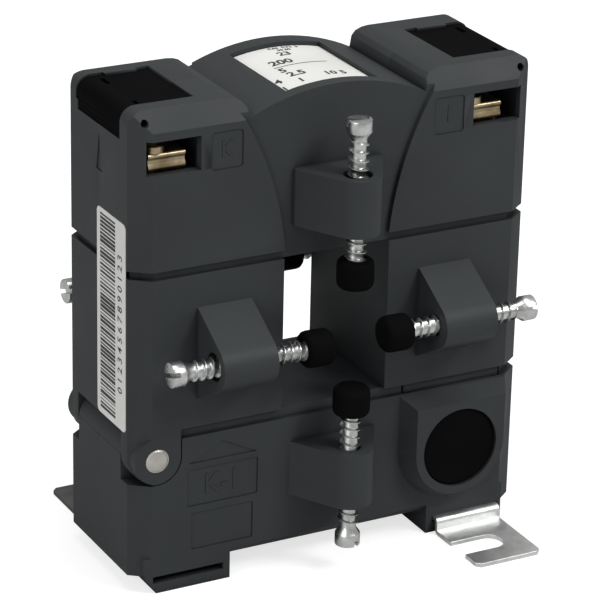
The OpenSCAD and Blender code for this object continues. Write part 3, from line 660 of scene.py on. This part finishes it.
def revolve(work, profile, segments=LATHE_STEPS):
    """Turns (radius, height) points into a closed solid about Z."""
    rings = []
    for radius, height in profile:
        if radius < ON_AXIS:
            rings.append([work.verts.new((0, 0, height))])
        else:
            angles = [2 * math.pi * i / segments for i in range(segments)]
            rings.append([work.verts.new((radius * math.cos(a), radius * math.sin(a), height))
                          for a in angles])
    for low, high in zip(rings, rings[1:]):
        for i in range(segments):
            j = (i + 1) % segments
            around = [low[i % len(low)], low[j % len(low)], high[j % len(high)], high[i % len(high)]]
            face = []
            for v in around:
                if v not in face:
                    face.append(v)
            work.faces.new(face)


print("turned shapes have", LATHE_STEPS, "steps around, small ones fewer")

# %% [markdown]
# The clamp screws have a coarse rolled thread. A thread could be a texture, but its outline
# shows against the light, so it is real: a thin ridge follows a helix round the core. It
# grows out of the core at one end and sinks back at the other, as a rolled thread runs out.

# %% Thread ridge
CORE_R = 1.6 * MM
CREST_R = 2.24 * MM
PITCH = 1.8 * MM
THREAD_START = 4.1 * MM
THREAD_END = 34.0 * MM
STEPS_A_TURN = 28
ROOT_SINK = 0.12 * MM
RUN_IN_TURNS = 0.6
RUN_OUT_TURNS = 1.2
LEAST_RISE = 0.05
# how far the ridge's root and crest reach towards the head and towards the tip
ROOT_REACH = (0.38 * MM, 0.3 * MM)
CREST_REACH = 0.06 * MM


def thread_ridge(work):
    """A helical ridge round the core; it starts and ends at the core's skin."""
    turns = (THREAD_END - THREAD_START) / PITCH
    steps = int(turns * STEPS_A_TURN)
    root = CORE_R - ROOT_SINK
    previous = None
    for i in range(steps + 1):
        along = i / steps
        rise = min(1.0, along * turns / RUN_IN_TURNS, (1 - along) * turns / RUN_OUT_TURNS)
        crest = root + (CREST_R - root) * max(LEAST_RISE, rise)
        angle = 2 * math.pi * i / STEPS_A_TURN
        z = THREAD_START + (THREAD_END - THREAD_START) * along
        section = [(root, z - ROOT_REACH[0]), (crest, z - CREST_REACH),
                   (crest, z + CREST_REACH), (root, z + ROOT_REACH[1])]
        ring = [work.verts.new((r * math.cos(angle), -r * math.sin(angle), h)) for r, h in section]
        if previous:
            for k in range(4):
                m = (k + 1) % 4
                work.faces.new((previous[k], previous[m], ring[m], ring[k]))
        else:
            work.faces.new(ring)
        previous = ring
    work.faces.new(previous[::-1])


print("thread:", round((THREAD_END - THREAD_START) / PITCH, 1), "turns of", PITCH / MM, "mm")

# %% [markdown]
# The frame holds only the envelope of a clamp screw. The real one is turned, slotted for a
# screwdriver and then threaded, and it is made in that order here. The slot could be
# modelled face by face, but a thin block that a Boolean cuts out of the head is exact.

# %% Slotted screw
HEAD_R = 2.7 * MM
HEAD_H = 2.7 * MM
NECK_H = 1.3 * MM
SCREW_L = 34.6 * MM
SLOT_W = 1.0 * MM
SLOT_D = 1.3 * MM


def slotted_shank():
    """The screw without its thread, with the slot cut across its head."""
    body = bmesh.new()
    neck = HEAD_H + NECK_H
    # head with broken edges, neck, core and tip; the sub-millimetre steps are edge breaks
    profile = [(0, 0), (HEAD_R - 0.22 * MM, 0), (HEAD_R - 0.06 * MM, 0.06 * MM), (HEAD_R, 0.22 * MM),
               (HEAD_R, HEAD_H - 0.1 * MM), (HEAD_R - 0.1 * MM, HEAD_H + 0.08 * MM),
               (CORE_R + 0.15 * MM, neck), (CORE_R + 0.1 * MM, neck + 1.0 * MM),
               (CORE_R, neck + 1.3 * MM), (CORE_R, SCREW_L - 0.8 * MM),
               (CORE_R - 0.5 * MM, SCREW_L), (0, SCREW_L)]
    revolve(body, profile)
    bmesh.ops.recalc_face_normals(body, faces=body.faces)
    blank = linked_object("screw_blank", plain_mesh("screw_shank", body))
    cutter = bmesh.new()
    bmesh.ops.create_cube(cutter, size=1.0, matrix=Matrix.Diagonal((SLOT_W, 4 * HEAD_R, 2 * SLOT_D, 1)))
    tool = linked_object("slot_cutter", plain_mesh("slot_cutter", cutter))
    cut = blank.modifiers.new("slot", "BOOLEAN")
    cut.object = tool
    cut.operation = "DIFFERENCE"
    cut.solver = "EXACT"
    slotted = evaluated_mesh(blank)
    bpy.data.objects.remove(tool)
    return slotted


def screw_mesh():
    """Screw along +Z from the slotted head's face at 0 to the tip."""
    whole = bmesh.new()
    whole.from_mesh(slotted_shank())
    thread_ridge(whole)
    return finished_mesh("clamp_screw", whole, degrees=32)


SCREW = screw_mesh()
print("screw:", len(SCREW.polygons), "faces")

# %% [markdown]
# Four screws stand on each face, and each turns by itself, so each is a piece of its own.
# They could share one mesh at eight places. A copy for each lets the place go into the mesh
# while the object stays at the origin, where moving bodies and patterns expect it.

# %% Placed screws
# direction from each screw's head to its tip, and a turn that sets its slot
HEADINGS = {
    "top": (Vector((0, 0, -1)), 1.75), "bottom": (Vector((0, 0, 1)), 0.3),
    "left": (Vector((1, 0, 0)), 1.22), "right": (Vector((-1, 0, 0)), 1.9),
}


def place_on_screws(pattern, kind, length, suffix, slot, turned):
    """Puts a copy of a pattern, made along +Z, in place of every CAD node of a kind."""
    for face in ("front", "rear"):
        for place, (heading, twist) in HEADINGS.items():
            node = "%s_%s_%s" % (face, place, kind)
            low, high = corners(node)
            start = (low + high) / 2 - heading * (length / 2)
            turn = heading.to_track_quat("Z", "Y").to_matrix().to_4x4()
            if turned:
                turn = turn @ Matrix.Rotation(twist, 4, "Z")
            mesh = pattern.copy()
            mesh.transform(Matrix.Translation(start) @ turn)
            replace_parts(new_object(node + suffix, mesh, MATS[slot], body_of_node(node)), node)
    print("placed: 8", kind + "s")


place_on_screws(SCREW, "screw", SCREW_L, "_threaded", "zinc_steel", turned=True)

# %% [markdown]
# An insulating cap sits on each screw's tip and keeps it off the conductor. The CAD cap
# could be bevelled, but its two ends have different roundings. So the cap is turned from one
# outline with a blind hole, and it rides on the body that slides with the screw.

# %% Rounded caps
CAP_R = 3.95 * MM
CAP_L = 6.2 * MM
CAP_HOLE_R = 2.3 * MM
CAP_GRIP = 4.21 * MM


def cap_mesh():
    work = bmesh.new()
    # hole, rounded rim, wall, and a rounder far end
    profile = [(0, CAP_GRIP), (CAP_HOLE_R, CAP_GRIP), (CAP_HOLE_R, 0), (CAP_R - 1.0 * MM, 0),
               (CAP_R - 0.45 * MM, 0.18 * MM), (CAP_R - 0.12 * MM, 0.6 * MM), (CAP_R, 1.2 * MM),
               (CAP_R, CAP_L - 1.5 * MM), (CAP_R - 0.15 * MM, CAP_L - 0.75 * MM),
               (CAP_R - 0.6 * MM, CAP_L - 0.2 * MM), (CAP_R - 1.3 * MM, CAP_L), (0, CAP_L)]
    revolve(work, profile)
    return finished_mesh("clamp_cap", work, degrees=50)


place_on_screws(cap_mesh(), "cap", CAP_L, "_round", "black_plastic", turned=False)

# %% [markdown]
# In each wire window a pressed brass jaw stands in front of the terminal screw. A plain
# block would show one even face. The real jaw is hollowed and shows a bright upper and lower
# edge, so its section is drawn in a few points and stretched across the saddle's width.

# %% Terminal jaws
# section of the jaw as (y, z) in mm, from its lower back corner round the hollowed front
JAW_FACE = [(-9.2, 93.7), (-14.2, 93.7), (-14.8, 93.9), (-15.0, 94.3), (-14.95, 94.8),
            (-14.65, 95.3), (-14.55, 95.8), (-14.7, 96.3), (-14.95, 96.6), (-14.95, 97.0),
            (-14.7, 97.3), (-14.2, 97.4), (-9.2, 97.4)]
JAW_TOP = max(z for y, z in JAW_FACE) * MM


def terminal_jaw(side):
    """Jaw as wide as the saddle behind it."""
    node = side + "_terminal_saddle"
    low, high = corners(node)
    work = bmesh.new()
    ends = [[work.verts.new((x, y * MM, z * MM)) for y, z in JAW_FACE] for x in (low.x, high.x)]
    for i in range(len(JAW_FACE)):
        j = (i + 1) % len(JAW_FACE)
        work.faces.new((ends[0][i], ends[0][j], ends[1][j], ends[1][i]))
    work.faces.new(ends[0])
    work.faces.new(ends[1][::-1])
    mesh = finished_mesh(side + "_jaw", work, degrees=45)
    new_object(side + "_terminal_jaw", mesh, MATS["brass"], body_of_node(node))


print("jaw top at, mm:", round(JAW_TOP / MM, 1))

# %% [markdown]
# Above each jaw the front of a small round collar looks out of the wall. Only its front is
# seen, and half a ring could do. A whole turned collar with a blind hole is no more work and
# stays right when a cover is opened. It is fixed to the head and doesn't turn.

# %% Terminal collars
COLLAR_R = 2.1 * MM
COLLAR_HOLE = 1.3 * MM
COLLAR_H = 1.5 * MM
COLLAR_EDGE = 0.15 * MM
COLLAR_X = 1.9 * MM
COLLAR_Y = -13.2 * MM
COLLAR_GAP = 0.06 * MM


def terminal_collar(side):
    """Fixed brass collar above a jaw; its front stands out of the wall behind the window."""
    work = bmesh.new()
    profile = [(0, 0), (COLLAR_R, 0), (COLLAR_R, COLLAR_H - COLLAR_EDGE),
               (COLLAR_R - COLLAR_EDGE, COLLAR_H), (COLLAR_HOLE, COLLAR_H),
               (COLLAR_HOLE, COLLAR_H / 2), (0, COLLAR_H / 2)]
    revolve(work, profile, segments=32)
    mesh = finished_mesh(side + "_collar", work, degrees=40)
    left_edge = corners(side + "_terminal_saddle")[0].x
    mesh.transform(Matrix.Translation((left_edge + COLLAR_X, COLLAR_Y, JAW_TOP + COLLAR_GAP)))
    new_object(side + "_terminal_collar", mesh, MATS["brass"], "head")


for side in ("left", "right"):
    terminal_jaw(side)
    terminal_collar(side)
print("terminals: 2 jaws, 2 collars")

# %% [markdown]
# The hinge pin is cut from rod and its ends are tumbled, so each is a little domed with a
# small dimple in its middle. The whole pin could be made again. Since only its ends show,
# the CAD pin stays and a thin turned dome covers each end.

# %% Pin heads
PIN_R = 2.52 * MM


def pin_head(name, front):
    """Domed end of the hinge pin, on its front or its rear end."""
    work = bmesh.new()
    # dimple, dome and rim as (radius, height) above the pin's flat end
    profile = [(0, 0.18 * MM), (0.35 * MM, 0.2 * MM), (0.55 * MM, 0.3 * MM), (1.3 * MM, 0.27 * MM),
               (2.0 * MM, 0.18 * MM), (2.4 * MM, 0.05 * MM), (PIN_R, -0.12 * MM), (0, -0.2 * MM)]
    revolve(work, profile, segments=40)
    mesh = finished_mesh(name, work, degrees=40)
    low, high = corners("hinge_pin")
    end = Vector(((low.x + high.x) / 2, low.y if front else high.y, (low.z + high.z) / 2))
    turn = Matrix.Rotation(math.pi / 2 if front else -math.pi / 2, 4, "X")
    mesh.transform(Matrix.Translation(end) @ turn)
    new_object(name, mesh, MATS["pin_steel"], body_of_node("hinge_pin"))


pin_head("pin_head_front", front=True)
pin_head("pin_head_rear", front=False)
print("pin heads: 2")

# %% [markdown]
# The side label carries a column of bars. Their thicknesses could be typed by hand, but that
# is dull and might repeat a real code. Geometry Nodes sets one bar on each point of a line
# and gives it a random thickness from a fixed seed. The tree's inputs are count, lengths,
# thinnest and thickest bar, and seed.

# %% Bar pattern as a node tree
BAR_DEEP = 0.02 * MM
BAR_UNIT = 1.0 * MM


def bar_group():
    """Bars of random thickness on the points of a line along Z."""
    tree = bpy.data.node_groups.new("bar_pattern", "GeometryNodeTree")
    for label, kind in (("Count", "Int"), ("Height", "Float"), ("Length", "Float"),
                        ("Thinnest", "Float"), ("Thickest", "Float"), ("Seed", "Int"),
                        ("Material", "Material")):
        tree.interface.new_socket(name=label, in_out="INPUT", socket_type="NodeSocket" + kind)
    tree.interface.new_socket(name="Geometry", in_out="OUTPUT", socket_type="NodeSocketGeometry")
    nodes, links = tree.nodes, tree.links
    start, end = nodes.new("NodeGroupInput"), nodes.new("NodeGroupOutput")
    top = nodes.new("ShaderNodeCombineXYZ")
    links.new(start.outputs["Height"], top.inputs["Z"])
    line = nodes.new("GeometryNodeMeshLine")
    line.mode = "END_POINTS"
    links.new(start.outputs["Count"], line.inputs["Count"])
    links.new(top.outputs["Vector"], line.inputs["Offset"])
    size = nodes.new("ShaderNodeCombineXYZ")
    size.inputs["X"].default_value = BAR_DEEP
    size.inputs["Z"].default_value = BAR_UNIT
    links.new(start.outputs["Length"], size.inputs["Y"])
    bar = nodes.new("GeometryNodeMeshCube")
    links.new(size.outputs["Vector"], bar.inputs["Size"])
    # sockets 2 and 3 are the random value's least and greatest number
    thick = nodes.new("FunctionNodeRandomValue")
    thick.data_type = "FLOAT"
    links.new(start.outputs["Thinnest"], thick.inputs[2])
    links.new(start.outputs["Thickest"], thick.inputs[3])
    links.new(start.outputs["Seed"], thick.inputs["Seed"])
    scale = nodes.new("ShaderNodeCombineXYZ")
    scale.inputs["X"].default_value = 1.0
    scale.inputs["Y"].default_value = 1.0
    links.new(thick.outputs[1], scale.inputs["Z"])
    place = nodes.new("GeometryNodeInstanceOnPoints")
    links.new(line.outputs["Mesh"], place.inputs["Points"])
    links.new(bar.outputs["Mesh"], place.inputs["Instance"])
    links.new(scale.outputs["Vector"], place.inputs["Scale"])
    solid = nodes.new("GeometryNodeRealizeInstances")
    links.new(place.outputs["Instances"], solid.inputs["Geometry"])
    paint = nodes.new("GeometryNodeSetMaterial")
    links.new(solid.outputs["Geometry"], paint.inputs["Geometry"])
    links.new(start.outputs["Material"], paint.inputs["Material"])
    links.new(paint.outputs["Geometry"], end.inputs["Geometry"])
    return tree


BARS = bar_group()
print("tree:", BARS.name)

# %% [markdown]
# A node tree works through a modifier, and its inputs are set by the socket's identifier.
# The modifier could stay live, but what rides on a body is better a plain mesh. So the bars
# are realised and moved onto the label.

# %% Bars on the side label
BAR_LENGTH = 7.3 * MM
BAR_MARGIN = 1.6 * MM
BAR_START = 1.7 * MM
BAR_PROUD = 0.005 * MM
BAR_VALUES = {"Count": 52, "Height": 43.0 * MM, "Length": BAR_LENGTH, "Thinnest": 0.18,
              "Thickest": 0.78, "Seed": 7, "Material": MATS["ink"]}


def bar_pattern():
    holder = linked_object("bar_holder", bpy.data.meshes.new("bar_holder"))
    maker = holder.modifiers.new("bars", "NODES")
    maker.node_group = BARS
    for item in BARS.interface.items_tree:
        if item.item_type == "SOCKET" and item.in_out == "INPUT":
            maker[item.identifier] = BAR_VALUES[item.name]
    mesh = evaluated_mesh(holder)
    low, high = corners("side_label")
    mesh.transform(Matrix.Translation((low.x - BAR_PROUD, high.y - BAR_MARGIN - BAR_LENGTH / 2,
                                       low.z + BAR_START)))
    new_object("side_label_bars", mesh, MATS["ink"], "head")
    print("bars:", len(mesh.polygons) // 6)


bar_pattern()

# %% [markdown]
# Plain numbers stand on both labels and plain letters on the moulded fields. Print could be
# an image, but text that is made a mesh stays crisp from near and needs no file. The offset
# of its outline makes the strokes a little bolder, as printed ones are.

# %% Text as a mesh
PRINT_THICK = 0.01 * MM


def text_mesh(words, size, weight=0.03):
    """Flat centred text as a mesh; a weight above zero makes its strokes bolder."""
    curve = bpy.data.curves.new("print", "FONT")
    curve.body = words
    curve.size = size
    curve.align_x = "CENTER"
    curve.align_y = "CENTER"
    curve.extrude = PRINT_THICK
    curve.offset = weight * size
    curve.resolution_u = 3
    return evaluated_mesh(linked_object("print", curve))


print("print is", PRINT_THICK / MM, "mm thick to each side")

# %% [markdown]
# The rating label is glued onto the barrel arch. A Shrinkwrap modifier could press its text
# onto the arch, but would squeeze it at the sides. Here the way across becomes an angle
# round the arch's axis, so that the letters keep their width. The thin rule is wrapped too,
# and is therefore made in short steps.

# %% Rating label
LABEL_LIFT = 0.02 * MM
ARCH_R = 45.2 * MM
ARCH_Z = corners("rating_label")[1].z - ARCH_R
# words, how far across and down the label as fractions, and letter size in mm
RATING_ROWS = [("0.66  0.72  3", 0.57, 0.035, 1.4), ("50 60", 0.545, 0.095, 1.4),
               ("23", 0.49, 0.19, 3.0), ("200", 0.345, 0.365, 3.5), ("5", 0.25, 0.545, 3.2),
               ("2.5", 0.33, 0.66, 3.3), ("1", 0.285, 0.815, 3.0), ("10 5", 0.69, 0.765, 2.9),
               ("4", 0.085, 0.73, 3.0), ("1", 0.06, 0.89, 2.6)]
RULE_LENGTH = 12.4 * MM
RULE_WIDTH = 0.3 * MM
RULE_DOWN = 0.46
RULE_X = -0.02 * MM
RULE_STEPS = 24


def wrap_on_arch(mesh, x, y):
    """Lays a flat drawing on the arch; its up direction points to the rear."""
    for v in mesh.vertices:
        angle = (v.co.x + x) / ARCH_R
        radius = ARCH_R + LABEL_LIFT + v.co.z
        v.co = Vector((radius * math.sin(angle), v.co.y + y, ARCH_Z + radius * math.cos(angle)))


def rule_mesh():
    """Thin line in steps that are short enough to follow the arch."""
    work = bmesh.new()
    size = Matrix.Diagonal((RULE_LENGTH, RULE_WIDTH, 1.0, 1.0))
    bmesh.ops.create_grid(work, x_segments=RULE_STEPS, y_segments=1, size=0.5,
                          matrix=Matrix.Translation((0, 0, PRINT_THICK)) @ size)
    return plain_mesh("rule", work)


def rating_print():
    """Rows of plain numbers and one rule, placed from the label's rear left corner."""
    low, high = corners("rating_label")
    wide, deep = high.x - low.x, high.y - low.y
    merged = bmesh.new()
    for words, across, down, size in RATING_ROWS:
        mesh = text_mesh(words, size * MM)
        wrap_on_arch(mesh, low.x + across * wide, high.y - down * deep)
        merged.from_mesh(mesh)
    rule = rule_mesh()
    wrap_on_arch(rule, RULE_X, high.y - RULE_DOWN * deep)
    merged.from_mesh(rule)
    new_object("rating_print", plain_mesh("rating_print", merged), MATS["ink"], "head")


rating_print()
print("rating label:", len(RATING_ROWS), "rows and a rule")

# %% [markdown]
# Digits stand along the front edge of the side label and read upwards. They could be set one
# by one. One line of text with spaces keeps them even, and a matrix that swaps two axes
# stands it upright on the housing's left side.

# %% Side label
SIDE_DIGITS = "0 1 2 3 4 5 6 7 8 9 0 1 2 3"
SIDE_SIZE = 2.9 * MM
SIDE_PROUD = 0.012 * MM
SIDE_FROM_FRONT = 2.6 * MM
SIDE_UP = 23.4 * MM


def side_print():
    """Digits that read upwards along the front edge of the side label."""
    low = corners("side_label")[0]
    mesh = text_mesh(SIDE_DIGITS, SIDE_SIZE, weight=0.01)
    upright = Matrix(((0, 0, -1, 0), (0, 1, 0, 0), (1, 0, 0, 0), (0, 0, 0, 1)))
    spot = Matrix.Translation((low.x - SIDE_PROUD, low.y + SIDE_FROM_FRONT, low.z + SIDE_UP))
    mesh.transform(spot @ upright)
    new_object("side_label_print", mesh, MATS["ink"], "head")


side_print()
print("side label:", len(SIDE_DIGITS.split()), "digits")

# %% [markdown]
# Terminal letters are moulded with the housing, in the same plastic. They could be cut into
# the shells, but then the bevel would soften them away. So each is thin text with a deeper
# relief, set in its field, and it is seen only by the light on its edges.

# %% Moulded letters
PLATE_Y = -HALF_DEPTH + 0.24 * MM
PLATE_X = 25.75 * MM
PLATE_Z = 96.75 * MM
PLATE_SIZE = 5.0 * MM
LOWER_PLATE = (-25.95 * MM, 22.85 * MM)
LOWER_SIZE = 6.8 * MM
# letters are made narrower and their relief deeper than flat text
RELIEF = Matrix.Diagonal((0.85, 1.0, 11.0, 1.0))


def plate_mark(name, letter, x, z, size, body):
    """Thin relief letter on one of the moulded fields of the front."""
    mesh = text_mesh(letter, size, weight=0.012)
    stand = Matrix(((1, 0, 0, 0), (0, 0, -1, 0), (0, 1, 0, 0), (0, 0, 0, 1)))
    mesh.transform(Matrix.Translation((x, PLATE_Y, z)) @ stand @ RELIEF)
    new_object(name, mesh, MATS["housing"], body)


plate_mark("left_plate_mark", "K", -PLATE_X, PLATE_Z, PLATE_SIZE, "head")
plate_mark("right_plate_mark", "I", PLATE_X, PLATE_Z, PLATE_SIZE, "head")
plate_mark("lower_plate_mark", "K-1", *LOWER_PLATE, LOWER_SIZE, "yoke")
print("plate marks: 3")

# %% [markdown]
# Soft studio light shows dark plastic best: a key from the upper right, a wide fill from the
# left, a broad lamp above and a weak one behind. Small hard lamps could give the same
# brightness, but would leave most of the housing black, so all of them are wide discs.

# %% Lamps
# place, diameter and power in watts; each lamp looks at the middle of the object
LAMPS = {
    "key": ((0.55, -0.75, 0.95), 0.45, 8.4),
    "fill": ((-0.9, -0.45, 0.5), 0.8, 3.7),
    "top": ((0.0, -0.1, 1.2), 0.7, 5.0),
    "back": ((-0.2, 0.9, 0.9), 0.8, 0.5),
}
LIT_POINT = Vector((0, 0, 0.05))


def make_lamps():
    for name, (place, size, power) in LAMPS.items():
        data = bpy.data.lights.new(name, "AREA")
        data.energy = power
        data.shape = "DISK"
        data.size = size
        aim = (LIT_POINT - Vector(place)).to_track_quat("-Z", "Y").to_matrix().to_4x4()
        linked_object(name, data).matrix_world = Matrix.Translation(place) @ aim
    print("lamps:", {name: lamp[2] for name, lamp in LAMPS.items()})


make_lamps()

# %% [markdown]
# The surroundings are white to the camera only. More light on the object would make them
# white too, but it would also bleach the housing. Light Path tells the kinds of ray apart:
# the camera sees full white, and the object is lit and mirrored at a lower strength.

# %% World
WORLD_LIGHT = 0.38
WORLD_MIRROR = 0.42


def background(nodes, strength):
    """One white background shader of a given strength."""
    shader = nodes.new("ShaderNodeBackground")
    shader.inputs["Color"].default_value = (1, 1, 1, 1)
    shader.inputs["Strength"].default_value = strength
    return shader.outputs["Background"]


def choose(nodes, links, mask, off, on):
    """Shader that is 'off' where the mask is 0 and 'on' where it is 1."""
    mix = nodes.new("ShaderNodeMixShader")
    links.new(mask, mix.inputs["Fac"])
    links.new(off, mix.inputs[1])
    links.new(on, mix.inputs[2])
    return mix.outputs["Shader"]


def make_world():
    world = bpy.data.worlds.new("studio")
    world.use_nodes = True
    bpy.context.scene.world = world
    nodes, links = world.node_tree.nodes, world.node_tree.links
    nodes.remove(nodes["Background"])
    path = nodes.new("ShaderNodeLightPath")
    lit = choose(nodes, links, path.outputs["Is Glossy Ray"],
                 background(nodes, WORLD_LIGHT), background(nodes, WORLD_MIRROR))
    seen = choose(nodes, links, path.outputs["Is Camera Ray"], lit, background(nodes, 1.0))
    links.new(seen, nodes["World Output"].inputs["Surface"])
    print("world light", WORLD_LIGHT, "mirrored", WORLD_MIRROR)


make_world()

# %% [markdown]
# The floor is plain. To the camera it glows a little under its diffuse part, so that it
# reads white and still takes the object's soft shadow; to all other rays it is a matt grey
# that throws some light back up.

# %% Floor
FLOOR_HALF = 4.0
FLOOR_GREY = 0.55
FLOOR_SEEN = 0.45
FLOOR_GLOW = 0.72


def floor_material():
    mat = bpy.data.materials.new("floor")
    mat.use_nodes = True
    nodes, links = mat.node_tree.nodes, mat.node_tree.links
    plain = nodes["Principled BSDF"]
    plain.inputs["Base Color"].default_value = (FLOOR_GREY, FLOOR_GREY, FLOOR_GREY, 1)
    plain.inputs["Roughness"].default_value = 0.9
    plain.inputs["Specular IOR Level"].default_value = 0.0
    glow = nodes.new("ShaderNodeEmission")
    glow.inputs["Strength"].default_value = FLOOR_GLOW
    shade = nodes.new("ShaderNodeBsdfDiffuse")
    shade.inputs["Color"].default_value = (FLOOR_SEEN, FLOOR_SEEN, FLOOR_SEEN, 1)
    both = nodes.new("ShaderNodeAddShader")
    links.new(glow.outputs["Emission"], both.inputs[0])
    links.new(shade.outputs["BSDF"], both.inputs[1])
    path = nodes.new("ShaderNodeLightPath")
    look = choose(nodes, links, path.outputs["Is Camera Ray"],
                  plain.outputs["BSDF"], both.outputs["Shader"])
    links.new(look, nodes["Material Output"].inputs["Surface"])
    return mat


def make_floor():
    half = FLOOR_HALF
    mesh = bpy.data.meshes.new("floor")
    rim = [(-half, -half, 0), (half, -half, 0), (half, half, 0), (-half, half, 0)]
    mesh.from_pydata(rim, [], [(0, 1, 2, 3)])
    mesh.materials.append(floor_material())
    linked_object("floor", mesh)
    print("floor:", 2 * half, "m square")


make_floor()
bpy.context.scene.view_settings.view_transform = "Standard"
